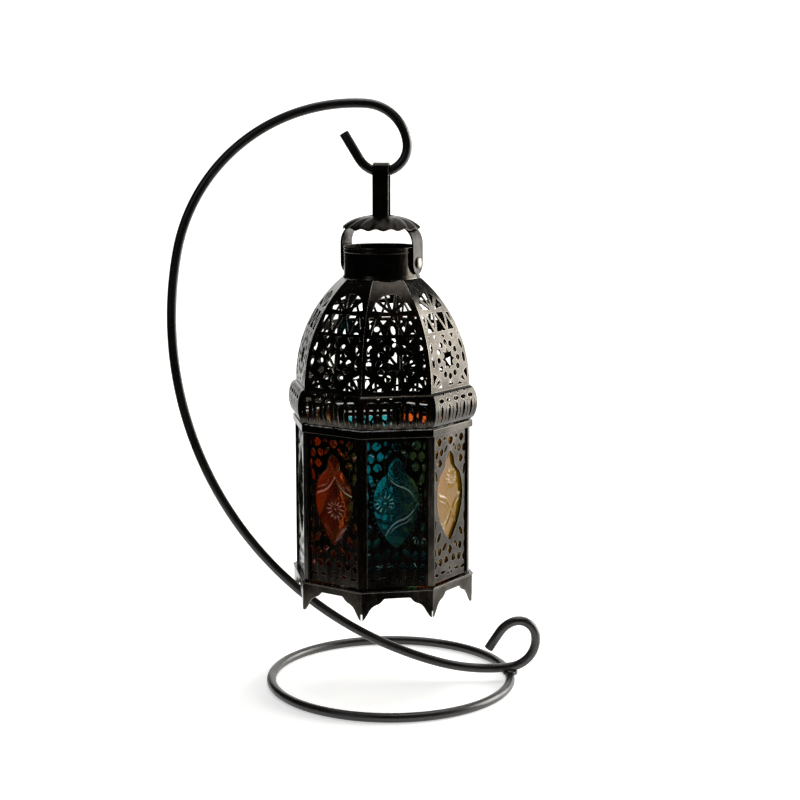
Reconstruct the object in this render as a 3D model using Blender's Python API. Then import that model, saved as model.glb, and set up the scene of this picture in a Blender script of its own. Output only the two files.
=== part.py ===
"""Candle lantern with eight glazed sides, hanging from a swirl stand of bent wire.

World frame: metres, +Z up, origin on the table at the middle of the object's
footprint.  The stand's arm lies in the plane y = 0, and the lantern hangs on
a vertical axis in that plane.  An angle "round the lantern" is measured from
the -Y direction towards +X.
"""
import math

import bmesh
import bpy
from mathutils import Matrix, Vector

MM = 0.001
GAP = 0.3 * MM                 # clearance kept between touching pieces
FACES = 8
STEP = math.radians(45.0)      # angle from one face of the lantern to the next
MITRE = math.tan(STEP / 2.0)

# Stand: one size of round wire
WIRE = 5.0 * MM
WIRE_SIDES = 12
RING_RADIUS = 65.2 * MM
RING_STEPS = 56
RING_X = 18.5 * MM
HOOK_TIP = (-5.8 * MM, 296.6 * MM)
HOOK_TIP_HEADING = -59.0
HOOK_TIP_STRAIGHT = 16.0 * MM
ARM_BENDS = (                  # bend radius, degrees turned, in order from the hook
    (13.4 * MM, 155.9),
    (23.0 * MM, 79.9),
    (95.7 * MM, 81.8),
    (193.0 * MM, 59.0),
    (193.0 * MM, 27.1),
    (100.0 * MM, 22.5),
    (15.8 * MM, 94.0),
    (9.2 * MM, 101.0),
    (15.0 * MM, 35.0),
)
ARM_TOP_BENDS = 4              # the wire is two solids, parted after this many bends
TAIL_STRAIGHT = 11.3 * MM
BEND_STEP_SMALL = 10.0         # degrees between points on a tight bend
BEND_STEP_LARGE = 4.0
LARGE_BEND = 60.0 * MM
WELD_SIZE = (4.6 * MM, 4.6 * MM, 2.2 * MM)

# Lantern axis and heights above the table
LANTERN_X = 13.8 * MM
FIRST_FACE = math.radians(10.5)
BAIL_ANGLE = math.radians(65.0)
FOOT_Z = 48.2 * MM
FLANGE_Z = 63.1 * MM
GALLERY_Z = 147.5 * MM
GALLERY_TOP_Z = 165.7 * MM
DOME_Z = 166.0 * MM
COLLAR_Z = 221.6 * MM
COLLAR_TOP_Z = 238.0 * MM
RIVET_Z = 229.7 * MM
CROWN_Z = 249.5 * MM
CAP_RIM_Z = 248.0 * MM
CAP_TOP_Z = 254.0 * MM
HOOK_Z = 276.4 * MM            # centre of the wire where the loop hangs

# Body of the lantern
SHEET = 0.8 * MM
POST_DISTANCE = 47.4 * MM      # axis to the outer flat of a corner post
POST_FLAT = 3.8 * MM
POST_WING = 1.0 * MM
POST_SHEET = 0.7 * MM
PANEL_APOTHEM = 43.5 * MM      # axis to the outer face of a filigree sheet
PANEL_HALF = 16.3 * MM
PANEL_Z = (65.0 * MM, 143.2 * MM)
MEDALLION_Z = (85.2 * MM, 133.7 * MM)
MEDALLION_HALF = 12.0 * MM
GLASS = 1.8 * MM
GLASS_HALF = 16.2 * MM
FLANGE_APOTHEM = 45.6 * MM
FLOOR_APOTHEM = 46.1 * MM
FLOOR_TOP = 64.0 * MM
RAIL_APOTHEM = 45.4 * MM
RAIL_WIDTH = 6.2 * MM
RAIL_Z = 143.5 * MM
FOOT_SLOT = 0.5 * MM           # half width of the slot that splits a foot
FOOT_SLOT_HEIGHT = 3.6 * MM
FOOT_TIP = 1.4 * MM
SKIRT_CUT_TOP = 59.6 * MM
SKIRT_CUT_TOP_HALF = 6.2 * MM
SKIRT_SHOULDER = (54.8 * MM, 13.4 * MM)

# Dome: the corner line is an arc whose centre lies beyond the axis
DOME_RADIUS = 72.0 * MM
DOME_CENTRE = -24.7 * MM
DOME_ARC = 63.0 * MM
DOME_BENDS = 7
GALLERY_BULGE = 4.2 * MM
GALLERY_APOTHEM = 43.4 * MM
GALLERY_BENDS = 4

# Collar, bail, cap and loop
COLLAR_RADIUS = 19.8 * MM
RIVET_RADIUS = 1.3 * MM
RIVET_HEAD = (3.0 * MM, 1.3 * MM)
BAIL_SHEET = 1.0 * MM
BAIL_HALF_WIDTH = 6.0 * MM
BAIL_INNER = 20.2 * MM
BAIL_BEND = 10.0 * MM
NECK_HALF = 1.5 * MM
NECK_LENGTH = 6.2 * MM         # half length of the narrow part of the crown
CAP_RADIUS = 20.1 * MM
CAP_SHEET = 0.7 * MM
CAP_HOLE = 6.6 * MM
CAP_FLUTES = 16
CAP_FLUTE_DEPTH = 0.45 * MM
LOOP_ANGLE = math.radians(8.0)
LOOP_WIDTH = 8.4 * MM
LOOP_INNER_HALF = 3.3 * MM
LOOP_SHEET = 1.0 * MM
LOOP_INNER_Z = (248.5 * MM, 280.3 * MM)

# Door: the rear face, hinged on its left side as seen from outside
DOOR_FACE = 4
DOOR_HALF = 14.9 * MM
DOOR_Z = (65.6 * MM, 142.6 * MM)
DOOR_APOTHEM = 44.2 * MM
DOOR_FRAME = (2.2 * MM, 2.3 * MM)
HINGE_X = -15.5 * MM
HINGE_APOTHEM = 46.3 * MM
HINGE_PIN = 0.6 * MM
KNUCKLE = 1.4 * MM
KNUCKLE_Z = (96.0 * MM, 103.0 * MM, 109.0 * MM, 116.0 * MM)
PULL_AT = (12.4 * MM, 104.0 * MM)

# Candle
HOLDER_RADIUS = 20.4 * MM
HOLDER_HEIGHT = 6.0 * MM
TEALIGHT_RADIUS = 19.0 * MM
TEALIGHT_HEIGHT = 16.0 * MM
TEALIGHT_SHEET = 0.4 * MM
WAX_TOP = 13.0 * MM
WICK_RADIUS = 0.6 * MM
WICK_TOP = 20.0 * MM


# ---------------------------------------------------------------- materials
def make_material(name, color, roughness, metallic=0.0, transmission=0.0):
    material = bpy.data.materials.new(name)
    material.use_nodes = True
    shader = material.node_tree.nodes["Principled BSDF"]
    shader.inputs["Base Color"].default_value = (*color, 1.0)
    shader.inputs["Roughness"].default_value = roughness
    shader.inputs["Metallic"].default_value = metallic
    shader.inputs["Transmission Weight"].default_value = transmission
    return material


# ---------------------------------------------------------------- outlines
def arc_points(centre, radius, start, sweep, steps):
    """Points on an arc; angles in degrees, both ends included."""
    points = []
    for index in range(steps + 1):
        angle = math.radians(start + sweep * index / steps)
        points.append((centre[0] + radius * math.cos(angle),
                       centre[1] + radius * math.sin(angle)))
    return points


def oval(centre, half_width, half_height, steps=12):
    points = []
    for index in range(steps):
        angle = 2.0 * math.pi * index / steps
        points.append((centre[0] + half_width * math.cos(angle),
                       centre[1] + half_height * math.sin(angle)))
    return points


def rectangle(half_width, low, high):
    return [(-half_width, low), (half_width, low), (half_width, high), (-half_width, high)]


def medallion(steps=10):
    """Ogee opening: pointed foot, full belly, narrow neck under a pointed top."""
    low, high = MEDALLION_Z
    right = []
    for index in range(1, steps):
        t = index / steps
        belly = math.sin(math.pi * t) ** 0.8
        waist = 1.0 - 0.35 * math.exp(-((t - 0.84) / 0.07) ** 2)
        right.append((MEDALLION_HALF * belly * waist, low + t * (high - low)))
    left = [(-x, z) for x, z in reversed(right)]
    return [(0.0, low)] + right + [(0.0, high)] + left


# ---------------------------------------------------------------- mesh helpers
def finished_mesh(name, bm, smooth_angle=30.0):
    bmesh.ops.recalc_face_normals(bm, faces=bm.faces)
    mesh = bpy.data.meshes.new(name)
    bm.to_mesh(mesh)
    bm.free()
    mesh.shade_smooth()
    mesh.set_sharp_from_angle(angle=math.radians(smooth_angle))
    return mesh


def add_piece(name, mesh, material, parent=None, location=(0.0, 0.0, 0.0), angle=0.0):
    piece = bpy.data.objects.new(name, mesh)
    bpy.context.scene.collection.objects.link(piece)
    if not mesh.materials:
        mesh.materials.append(material)
    piece.location = location
    piece.rotation_euler = (0.0, 0.0, angle)
    piece.parent = parent
    return piece


def add_pivot(name, location, parent=None, angle=0.0):
    pivot = bpy.data.objects.new(name, None)
    bpy.context.scene.collection.objects.link(pivot)
    pivot.location = location
    pivot.rotation_euler = (0.0, 0.0, angle)
    pivot.parent = parent
    return pivot


def flat_sheet(loops, thickness, cuts=()):
    """A sheet in the XZ plane with an outline and holes, its front at y = 0.

    It is cut across at each height in cuts, so that it can be bent there.
    """
    bm = bmesh.new()
    for loop in loops:
        corners = [bm.verts.new((x, 0.0, z)) for x, z in loop]
        for index, corner in enumerate(corners):
            bm.edges.new((corner, corners[index - 1]))
    bmesh.ops.triangle_fill(bm, edges=bm.edges[:], use_beauty=True, use_dissolve=False)
    for height in cuts:
        bmesh.ops.bisect_plane(bm, geom=bm.verts[:] + bm.edges[:] + bm.faces[:], dist=1e-6,
                               plane_co=(0.0, 0.0, height), plane_no=(0.0, 0.0, 1.0))
    extruded = bmesh.ops.extrude_face_region(bm, geom=bm.faces[:])
    moved = [item for item in extruded["geom"] if isinstance(item, bmesh.types.BMVert)]
    bmesh.ops.translate(bm, verts=moved, vec=(0.0, thickness, 0.0))
    return bm


def follow_profile(bm, profile, mitred=False):
    """Bend a flat sheet to a side of the lantern.

    profile(height) gives the distance from the axis, the level, and the
    outward direction there as two parts, radial and upward.
    """
    for vert in bm.verts:
        depth = vert.co.y
        radius, level, out_r, out_z = profile(vert.co.z)
        inner = radius - depth * out_r
        across = vert.co.x * inner / radius if mitred else vert.co.x
        vert.co = (across, -inner, level - depth * out_z)
    return bm


def ring_of_sides(side, tolerance=0.01 * MM):
    """Join eight copies of a mitred side, without its two mitred ends, into a closed band."""
    ends = []
    for face in side.faces:
        for sign in (-1.0, 1.0):
            offsets = [vert.co.x * sign + vert.co.y * MITRE for vert in face.verts]
            if max(abs(offset) for offset in offsets) < tolerance:
                ends.append(face)
    bmesh.ops.delete(side, geom=ends, context="FACES")
    mesh = bpy.data.meshes.new("side")
    side.to_mesh(mesh)
    side.free()
    band = bmesh.new()
    for index in range(FACES):
        before = len(band.verts)
        band.from_mesh(mesh)
        band.verts.ensure_lookup_table()
        bmesh.ops.rotate(band, verts=band.verts[before:], cent=(0.0, 0.0, 0.0),
                         matrix=Matrix.Rotation(STEP * index, 3, "Z"))
    bmesh.ops.remove_doubles(band, verts=band.verts[:], dist=0.02 * MM)
    bpy.data.meshes.remove(mesh)
    return band


def turned(profile, steps=32):
    """Spin a closed outline of (radius, height) points round Z."""
    bm = bmesh.new()
    corners = [bm.verts.new((radius, 0.0, height)) for radius, height in profile]
    edges = [bm.edges.new((corner, corners[index - 1])) for index, corner in enumerate(corners)]
    bmesh.ops.spin(bm, geom=corners + edges, cent=(0.0, 0.0, 0.0), axis=(0.0, 0.0, 1.0),
                   angle=2.0 * math.pi, steps=steps, use_merge=True)
    bmesh.ops.remove_doubles(bm, verts=bm.verts[:], dist=0.002 * MM)
    return bm


def column(loops, low, high):
    """Stand an outline of (x, y) points, with its holes, up from z = low to z = high."""
    bm = flat_sheet(loops, high - low)
    for vert in bm.verts:
        vert.co = (vert.co.x, vert.co.z, low + vert.co.y)
    return bm


def cut_with(piece, bm):
    """Take a shape, given in the piece's own coordinates, out of a piece."""
    mesh = finished_mesh(piece.name + "_cut", bm)
    cutter = bpy.data.objects.new(piece.name + "_cutter", mesh)
    bpy.context.scene.collection.objects.link(cutter)
    cutter.parent = piece
    cutter.hide_render = True
    cutter.display_type = "WIRE"
    boolean = piece.modifiers.new(cutter.name, "BOOLEAN")
    boolean.operation = "DIFFERENCE"
    boolean.solver = "EXACT"
    boolean.object = cutter


# ---------------------------------------------------------------- stand
def arm_centreline():
    """The arm's centreline in the XZ plane from the hook, and where its upper solid ends."""
    x, z = HOOK_TIP
    heading = HOOK_TIP_HEADING
    points = [(x, z)]
    x += HOOK_TIP_STRAIGHT * math.cos(math.radians(heading))
    z += HOOK_TIP_STRAIGHT * math.sin(math.radians(heading))
    points.append((x, z))
    ends = []
    for radius, sweep in ARM_BENDS:
        side = math.radians(heading + 90.0)
        centre = (x + radius * math.cos(side), z + radius * math.sin(side))
        step = BEND_STEP_LARGE if radius > LARGE_BEND else BEND_STEP_SMALL
        bend = arc_points(centre, radius, heading - 90.0, sweep, math.ceil(sweep / step))
        points += bend[1:]
        ends.append(len(points) - 1)
        x, z = bend[-1]
        heading += sweep
    points.append((x + TAIL_STRAIGHT * math.cos(math.radians(heading)),
                   z + TAIL_STRAIGHT * math.sin(math.radians(heading))))
    return points, ends[ARM_TOP_BENDS - 1]


def make_wire(name, points, material):
    curve = bpy.data.curves.new(name, "CURVE")
    curve.dimensions = "3D"
    curve.bevel_depth = WIRE / 2.0
    curve.bevel_resolution = 2
    curve.use_fill_caps = True
    spline = curve.splines.new("POLY")
    spline.points.add(len(points) - 1)
    for point, (x, z) in zip(spline.points, points):
        point.co = (x, 0.0, z, 1.0)
    curve.materials.append(material)
    wire = bpy.data.objects.new(name, curve)
    bpy.context.scene.collection.objects.link(wire)


def make_hook_arm(material):
    """One wire as two solids that part under the skirt, so that hulls follow its curve."""
    points, parting = arm_centreline()
    make_wire("hook_arm", points[:parting + 1], material)
    (x, z), (after_x, after_z) = points[parting:parting + 2]
    share = GAP / math.dist((x, z), (after_x, after_z))
    start = (x + (after_x - x) * share, z + (after_z - z) * share)
    make_wire("arm_foot", [start] + points[parting + 1:], material)


def make_base_ring(material):
    """The ring's section has a flat underneath, where it stands."""
    corner = WIRE / 2.0 / math.cos(math.pi / WIRE_SIDES)
    section = arc_points((RING_RADIUS, WIRE / 2.0), corner, 180.0 / WIRE_SIDES,
                         360.0 - 360.0 / WIRE_SIDES, WIRE_SIDES - 1)
    mesh = finished_mesh("base_ring", turned(section, RING_STEPS), 35.0)
    add_piece("base_ring", mesh, material, location=(RING_X, 0.0, 0.0))


def make_ring_weld(material):
    """A bead round the point where the arm crosses the ring, clear of both wires."""
    bm = bmesh.new()
    bmesh.ops.create_uvsphere(bm, u_segments=16, v_segments=10, radius=1.0)
    bmesh.ops.scale(bm, verts=bm.verts[:], vec=WELD_SIZE)
    weld = add_piece("ring_weld", finished_mesh("ring_weld", bm), material,
                     location=(RING_X + RING_RADIUS, 0.0, WIRE + GAP / 2.0))
    clear = WIRE / 2.0 + GAP
    length = 12.0 * MM
    for axis, level in ((Vector((1.0, 0.0, 0.0)), 1.0), (Vector((0.0, 1.0, 0.0)), -1.0)):
        bar = bmesh.new()
        turn = Vector((0.0, 0.0, 1.0)).rotation_difference(axis).to_matrix().to_4x4()
        place = Matrix.Translation((0.0, 0.0, level * (WIRE / 2.0 + GAP / 2.0)))
        bmesh.ops.create_cone(bar, cap_ends=True, segments=24, radius1=clear, radius2=clear,
                              depth=length, matrix=place @ turn)
        cut_with(weld, bar)


# ---------------------------------------------------------------- hanging gear
def make_hanging_loop(material, pivot):
    """A closed link of flat strip: round over the wire, square under the crown."""
    low, high = LOOP_INNER_Z
    outlines = []
    for grow in (LOOP_SHEET, 0.0):
        half = LOOP_INNER_HALF + grow
        corner = 0.8 * MM + grow
        floor = low - grow
        outline = arc_points((0.0, high - LOOP_INNER_HALF), half, 0.0, 180.0, 10)
        outline += arc_points((-half + corner, floor + corner), corner, 180.0, 90.0, 3)
        outline += arc_points((half - corner, floor + corner), corner, 270.0, 90.0, 3)
        outlines.append(outline)
    bm = flat_sheet(outlines, LOOP_WIDTH)
    bmesh.ops.translate(bm, verts=bm.verts[:], vec=(0.0, -LOOP_WIDTH / 2.0, -HOOK_Z))
    bmesh.ops.rotate(bm, verts=bm.verts[:], cent=(0.0, 0.0, 0.0),
                     matrix=Matrix.Rotation(math.pi / 2.0 - LOOP_ANGLE, 3, "Z"))
    add_piece("hanging_loop", finished_mesh("hanging_loop", bm), material, parent=pivot)


def bail_outline():
    """Centreline of the bail seen square on: up one leg, over and down the other."""
    reach = BAIL_INNER + BAIL_SHEET / 2.0
    foot = (reach, RIVET_Z)
    bend = arc_points((reach - BAIL_BEND, CROWN_Z - BAIL_BEND), BAIL_BEND, 0.0, 90.0, 6)
    half = [foot] + bend + [(NECK_LENGTH, CROWN_Z)]
    return half + [(-x, z) for x, z in reversed(half)]


def make_bail_strap(material, pivot):
    """Flat strap bent along the outline, with round drilled ends and a necked crown."""
    line = bail_outline()
    total = 0.0
    stations = [0.0]
    for start, end in zip(line, line[1:]):
        total += math.dist(start, end)
        stations.append(total)
    middle = total / 2.0
    width = BAIL_HALF_WIDTH
    right = arc_points((0.0, 0.0), width, 270.0, 180.0, 10)
    strip = [(x, z) for z, x in right]
    upper = [(width, middle - NECK_LENGTH), (NECK_HALF, middle - NECK_LENGTH)]
    upper += [(NECK_HALF, middle + NECK_LENGTH), (width, middle + NECK_LENGTH)]
    round_end = [(-x, z) for x, z in strip]
    flat_start = [(x, -z) for x, z in strip]
    flat_end = [(x, total + z) for x, z in round_end]
    outline = flat_start + upper + list(reversed([(-x, z) for x, z in flat_end]))
    outline += [(-x, z) for x, z in reversed(upper)]
    hole = RIVET_RADIUS + GAP
    loops = [outline, oval((0.0, 0.0), hole, hole), oval((0.0, total), hole, hole)]
    bm = flat_sheet(loops, BAIL_SHEET, stations[1:-1])
    for vert in bm.verts:
        across, depth, run = vert.co
        index = 0
        while index < len(stations) - 2 and run > stations[index + 1]:
            index += 1
        start, end = Vector(line[index]), Vector(line[index + 1])
        along = (end - start).normalized()
        before = (start - Vector(line[index - 1])).normalized() if index > 0 else along
        after_index = min(index + 2, len(line) - 1)
        after = (Vector(line[after_index]) - end).normalized() if index + 2 < len(line) else along
        share = (run - stations[index]) / (stations[index + 1] - stations[index])
        inside = min(max(share, 0.0), 1.0)
        first = (before + along).normalized()
        last = (along + after).normalized()
        tangent = first.lerp(last, inside).normalized()
        point = start.lerp(end, share)
        outward = Vector((tangent.y, -tangent.x))
        place = point + outward * (BAIL_SHEET / 2.0 - depth)
        vert.co = (across, -place.x, place.y - CROWN_Z)
    bmesh.ops.rotate(bm, verts=bm.verts[:], cent=(0.0, 0.0, 0.0),
                     matrix=Matrix.Rotation(BAIL_ANGLE, 3, "Z"))
    add_piece("bail_strap", finished_mesh("bail_strap", bm, 40.0), material, parent=pivot)


def make_heat_cap(material, pivot):
    """A shallow fluted dome with a hole for the loop and a scalloped rim."""
    rise = CAP_TOP_Z - CAP_RIM_Z
    radii = [CAP_HOLE + (CAP_RADIUS - CAP_HOLE) * index / 3.0 for index in range(4)]

    def level(radius):
        return CAP_RIM_Z + rise * (1.0 - (radius / CAP_RADIUS) ** 2) - CROWN_Z

    top = [(radius, level(radius)) for radius in reversed(radii)]
    below = [(radius, level(radius) - CAP_SHEET) for radius in radii]
    bm = turned(top + below, CAP_FLUTES * 4)
    for vert in bm.verts:
        radius = math.hypot(vert.co.x, vert.co.y)
        turn = math.atan2(vert.co.y, vert.co.x)
        share = (radius - CAP_HOLE) / (CAP_RADIUS - CAP_HOLE)
        vert.co.z += CAP_FLUTE_DEPTH * share * math.cos(CAP_FLUTES * turn)
    add_piece("heat_cap", finished_mesh("heat_cap", bm, 60.0), material, parent=pivot)


# ---------------------------------------------------------------- lantern top
def make_bail_rivets(material, pivot):
    """Headed pins through the collar wall and the legs of the bail."""
    head_radius, head_height = RIVET_HEAD
    seat = BAIL_INNER + BAIL_SHEET + GAP
    inside = COLLAR_RADIUS - SHEET - GAP
    tail = 0.8 * MM
    profile = [(0.0, seat + head_height), (head_radius * 0.6, seat + head_height * 0.8),
               (head_radius, seat + head_height * 0.2), (head_radius, seat),
               (RIVET_RADIUS, seat), (RIVET_RADIUS, inside), (head_radius * 0.8, inside),
               (head_radius * 0.8, inside - tail), (0.0, inside - tail)]
    bm = turned(profile, 16)
    bmesh.ops.rotate(bm, verts=bm.verts[:], cent=(0.0, 0.0, 0.0),
                     matrix=Matrix.Rotation(math.pi / 2.0, 3, "X"))
    mesh = finished_mesh("bail_rivet", bm)
    for name, turn in (("bail_rivet_front", 0.0), ("bail_rivet_rear", math.pi)):
        add_piece(name, mesh, material, parent=pivot, angle=BAIL_ANGLE + turn)


def make_collar(material, pivot):
    """Open chimney ring with a rolled rim, drilled for the rivets."""
    low, high = COLLAR_Z - RIVET_Z, COLLAR_TOP_Z - RIVET_Z
    inner = COLLAR_RADIUS - SHEET
    profile = [(COLLAR_RADIUS, high), (COLLAR_RADIUS, low), (inner, low), (inner, high)]
    collar = add_piece("collar", finished_mesh("collar", turned(profile, 48)), material,
                       parent=pivot)
    bar = bmesh.new()
    turn = Matrix.Rotation(BAIL_ANGLE, 4, "Z") @ Matrix.Rotation(math.pi / 2.0, 4, "X")
    hole = RIVET_RADIUS + GAP
    bmesh.ops.create_cone(bar, cap_ends=True, segments=12, radius1=hole, radius2=hole,
                          depth=3.0 * COLLAR_RADIUS, matrix=turn)
    cut_with(collar, bar)


def dome_profile(run):
    angle = run / DOME_RADIUS
    corner = DOME_CENTRE + DOME_RADIUS * math.cos(angle)
    level = DOME_Z + DOME_RADIUS * math.sin(angle) - RIVET_Z
    return corner * math.cos(STEP / 2.0), level, math.cos(angle), math.sin(angle)


def dome_half_width(run):
    return dome_profile(run)[0] * MITRE - 0.5 * MM


def make_dome_panels(material, pivot):
    """One curved gore with a fan, a lattice, a rosette and corner slots, used eight times."""
    runs = [GAP + (DOME_ARC - GAP) * index / DOME_BENDS for index in range(DOME_BENDS + 1)]
    right = [(dome_half_width(run), run) for run in runs]
    outline = right + [(-x, z) for x, z in reversed(right)]
    holes = [
        [(0.0, 55.0 * MM), (-3.4 * MM, 48.0 * MM), (0.0, 42.5 * MM), (3.4 * MM, 48.0 * MM)],
        oval((0.0, 13.5 * MM), 4.6 * MM, 4.6 * MM, 10),
    ]
    for side in (-1.0, 1.0):
        holes.append([(side * 3.0 * MM, 38.5 * MM), (side * 8.5 * MM, 41.5 * MM),
                      (side * 5.6 * MM, 47.0 * MM)])
        holes.append([(side * 1.2 * MM, 24.0 * MM), (side * 5.0 * MM, 26.0 * MM),
                      (side * 3.0 * MM, 36.5 * MM)])
        holes.append([(side * 7.2 * MM, 24.5 * MM), (side * 11.6 * MM, 25.0 * MM),
                      (side * 9.0 * MM, 36.0 * MM)])
        holes.append([(side * 8.0 * MM, 4.5 * MM), (side * 13.0 * MM, 5.0 * MM),
                      (side * 12.6 * MM, 19.0 * MM), (side * 8.5 * MM, 18.0 * MM)])
    bm = flat_sheet([outline] + holes, SHEET, runs[1:-1])
    mesh = finished_mesh("dome_panel", follow_profile(bm, dome_profile), 40.0)
    for index in range(FACES):
        add_piece("dome_panel_%d" % (index + 1), mesh, material, parent=pivot,
                  angle=FIRST_FACE + STEP * index)


def gallery_profile(run):
    """A bulge like half an ellipse between the gallery's two edges."""
    height = GALLERY_TOP_Z - GALLERY_Z
    angle = math.pi * run / height
    radius = GALLERY_APOTHEM + GALLERY_BULGE * math.sin(angle)
    level = GALLERY_Z + height / 2.0 * (1.0 - math.cos(angle)) - RIVET_Z
    out = Vector((height / 2.0 * math.sin(angle), -GALLERY_BULGE * math.cos(angle)))
    out.normalize()
    return radius, level, out.x, out.y


def make_gallery_band(material, pivot):
    height = GALLERY_TOP_Z - GALLERY_Z
    runs = [height * index / GALLERY_BENDS for index in range(GALLERY_BENDS + 1)]
    right = [(gallery_profile(run)[0] * MITRE, run) for run in runs]
    outline = right + [(-x, z) for x, z in reversed(right)]
    slots = []
    for index in range(-2, 3):
        centre = index * 6.6 * MM
        slots.append([(centre - 0.9 * MM, 5.0 * MM), (centre + 0.9 * MM, 5.0 * MM),
                      (centre + 1.6 * MM, 12.6 * MM), (centre - 1.6 * MM, 12.6 * MM)])
    bm = flat_sheet([outline] + slots, SHEET, runs[1:-1])
    side = follow_profile(bm, gallery_profile, mitred=True)
    band = ring_of_sides(side)
    add_piece("gallery_band", finished_mesh("gallery_band", band, 40.0), material,
              parent=pivot, angle=FIRST_FACE)


# ---------------------------------------------------------------- lantern body
def upright(apothem):
    """A flat vertical side at a given distance from the axis."""
    def profile(level):
        return apothem, level - RIVET_Z, 1.0, 0.0
    return profile


def octagon(apothem):
    """Corners of an octagon whose side faces -Y."""
    corner = apothem / math.cos(STEP / 2.0)
    return [(corner * math.sin(STEP * (index + 0.5)), -corner * math.cos(STEP * (index + 0.5)))
            for index in range(FACES)]


def make_top_frame(material, pivot):
    """Flat eight-sided rail under the gallery."""
    loops = [octagon(RAIL_APOTHEM), octagon(RAIL_APOTHEM - RAIL_WIDTH)]
    bm = column(loops, RAIL_Z - RIVET_Z, GALLERY_Z - GAP - RIVET_Z)
    add_piece("top_frame", finished_mesh("top_frame", bm), material, parent=pivot,
              angle=FIRST_FACE)


def make_corner_posts(material, pivot):
    """Narrow strip folded over each corner: a flat and two short wings."""
    half = POST_FLAT / 2.0
    wing = POST_WING
    lean = STEP / 2.0
    outer = [(half + wing * math.cos(lean), -POST_DISTANCE + wing * math.sin(lean)),
             (half, -POST_DISTANCE)]
    shift = POST_SHEET * math.tan(lean / 2.0)
    back = -POST_DISTANCE + POST_SHEET
    inner = [(half - shift, back),
             (outer[0][0] - POST_SHEET * math.sin(lean), outer[0][1] + POST_SHEET * math.cos(lean))]
    right = [inner[1], outer[0], outer[1]]
    left = [(-x, y) for x, y in reversed(right)]
    outline = right + left + [(-inner[0][0], inner[0][1]), inner[0]]
    bm = column([outline], FLOOR_TOP + GAP - RIVET_Z, RAIL_Z - GAP - RIVET_Z)
    mesh = finished_mesh("corner_post", bm)
    for index in range(FACES):
        add_piece("corner_post_%d" % (index + 1), mesh, material, parent=pivot,
                  angle=FIRST_FACE + STEP * (index - 0.5))


def panel_loops(half, low, high):
    """Outline, medallion and corner piercings of one filigree sheet."""
    loops = [rectangle(half, low, high), medallion()]
    for side in (-1.0, 1.0):
        loops.append([(side * 3.5 * MM, 141.0 * MM), (side * 11.5 * MM, 141.0 * MM),
                      (side * 9.0 * MM, 135.5 * MM)])
        loops.append([(side * 12.4 * MM, 122.0 * MM), (side * 12.8 * MM, 135.0 * MM),
                      (side * 9.4 * MM, 131.0 * MM)])
        loops.append([(side * 2.6 * MM, 69.0 * MM), (side * 11.5 * MM, 69.0 * MM),
                      (side * 6.5 * MM, 80.0 * MM)])
        loops.append([(side * 12.6 * MM, 75.0 * MM), (side * 12.6 * MM, 93.0 * MM),
                      (side * 9.4 * MM, 85.0 * MM)])
    return loops


def make_panels(material, pivot):
    """Seven fixed filigree sheets; the door has its own."""
    bm = flat_sheet(panel_loops(PANEL_HALF, *PANEL_Z), SHEET)
    mesh = finished_mesh("filigree_panel", follow_profile(bm, upright(PANEL_APOTHEM)))
    for index in range(FACES):
        if index != DOOR_FACE:
            add_piece("filigree_panel_%d" % (index + 1), mesh, material, parent=pivot,
                      angle=FIRST_FACE + STEP * index)


def make_panes(glasses, pivot):
    """Seven fixed panes behind the sheets, in a repeating order of colours."""
    front = PANEL_APOTHEM - SHEET - GAP
    for index in range(FACES):
        if index == DOOR_FACE:
            continue
        bm = flat_sheet([rectangle(GLASS_HALF, *PANEL_Z)], GLASS)
        mesh = finished_mesh("glass_pane", follow_profile(bm, upright(front)))
        add_piece("glass_pane_%d" % (index + 1), mesh, glasses[index % len(glasses)],
                  parent=pivot, angle=FIRST_FACE + STEP * index)


def make_base_tray(material, pivot):
    """Flat floor of the body; its edge shows as a line round the foot of the walls."""
    bm = column([octagon(FLOOR_APOTHEM)], FLANGE_Z - RIVET_Z, FLOOR_TOP - RIVET_Z)
    add_piece("base_tray", finished_mesh("base_tray", bm), material, parent=pivot,
              angle=FIRST_FACE)


def make_skirt(material, pivot):
    """Band round the floor, cut into a pointed split foot at each corner."""
    edge = FLANGE_APOTHEM * MITRE
    slot = edge - FOOT_SLOT
    shoulder_z, shoulder_x = SKIRT_SHOULDER
    right = [(SKIRT_CUT_TOP_HALF, SKIRT_CUT_TOP), (shoulder_x, shoulder_z),
             (slot - FOOT_TIP, FOOT_Z + 1.6 * MM), (slot, FOOT_Z),
             (slot, FOOT_Z + FOOT_SLOT_HEIGHT), (edge, FOOT_Z + FOOT_SLOT_HEIGHT),
             (edge, FLANGE_Z - GAP)]
    outline = right + [(-x, z) for x, z in reversed(right)]
    bm = flat_sheet([outline], SHEET)
    side = follow_profile(bm, upright(FLANGE_APOTHEM), mitred=True)
    band = ring_of_sides(side)
    add_piece("skirt", finished_mesh("skirt", band), material, parent=pivot, angle=FIRST_FACE)


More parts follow.
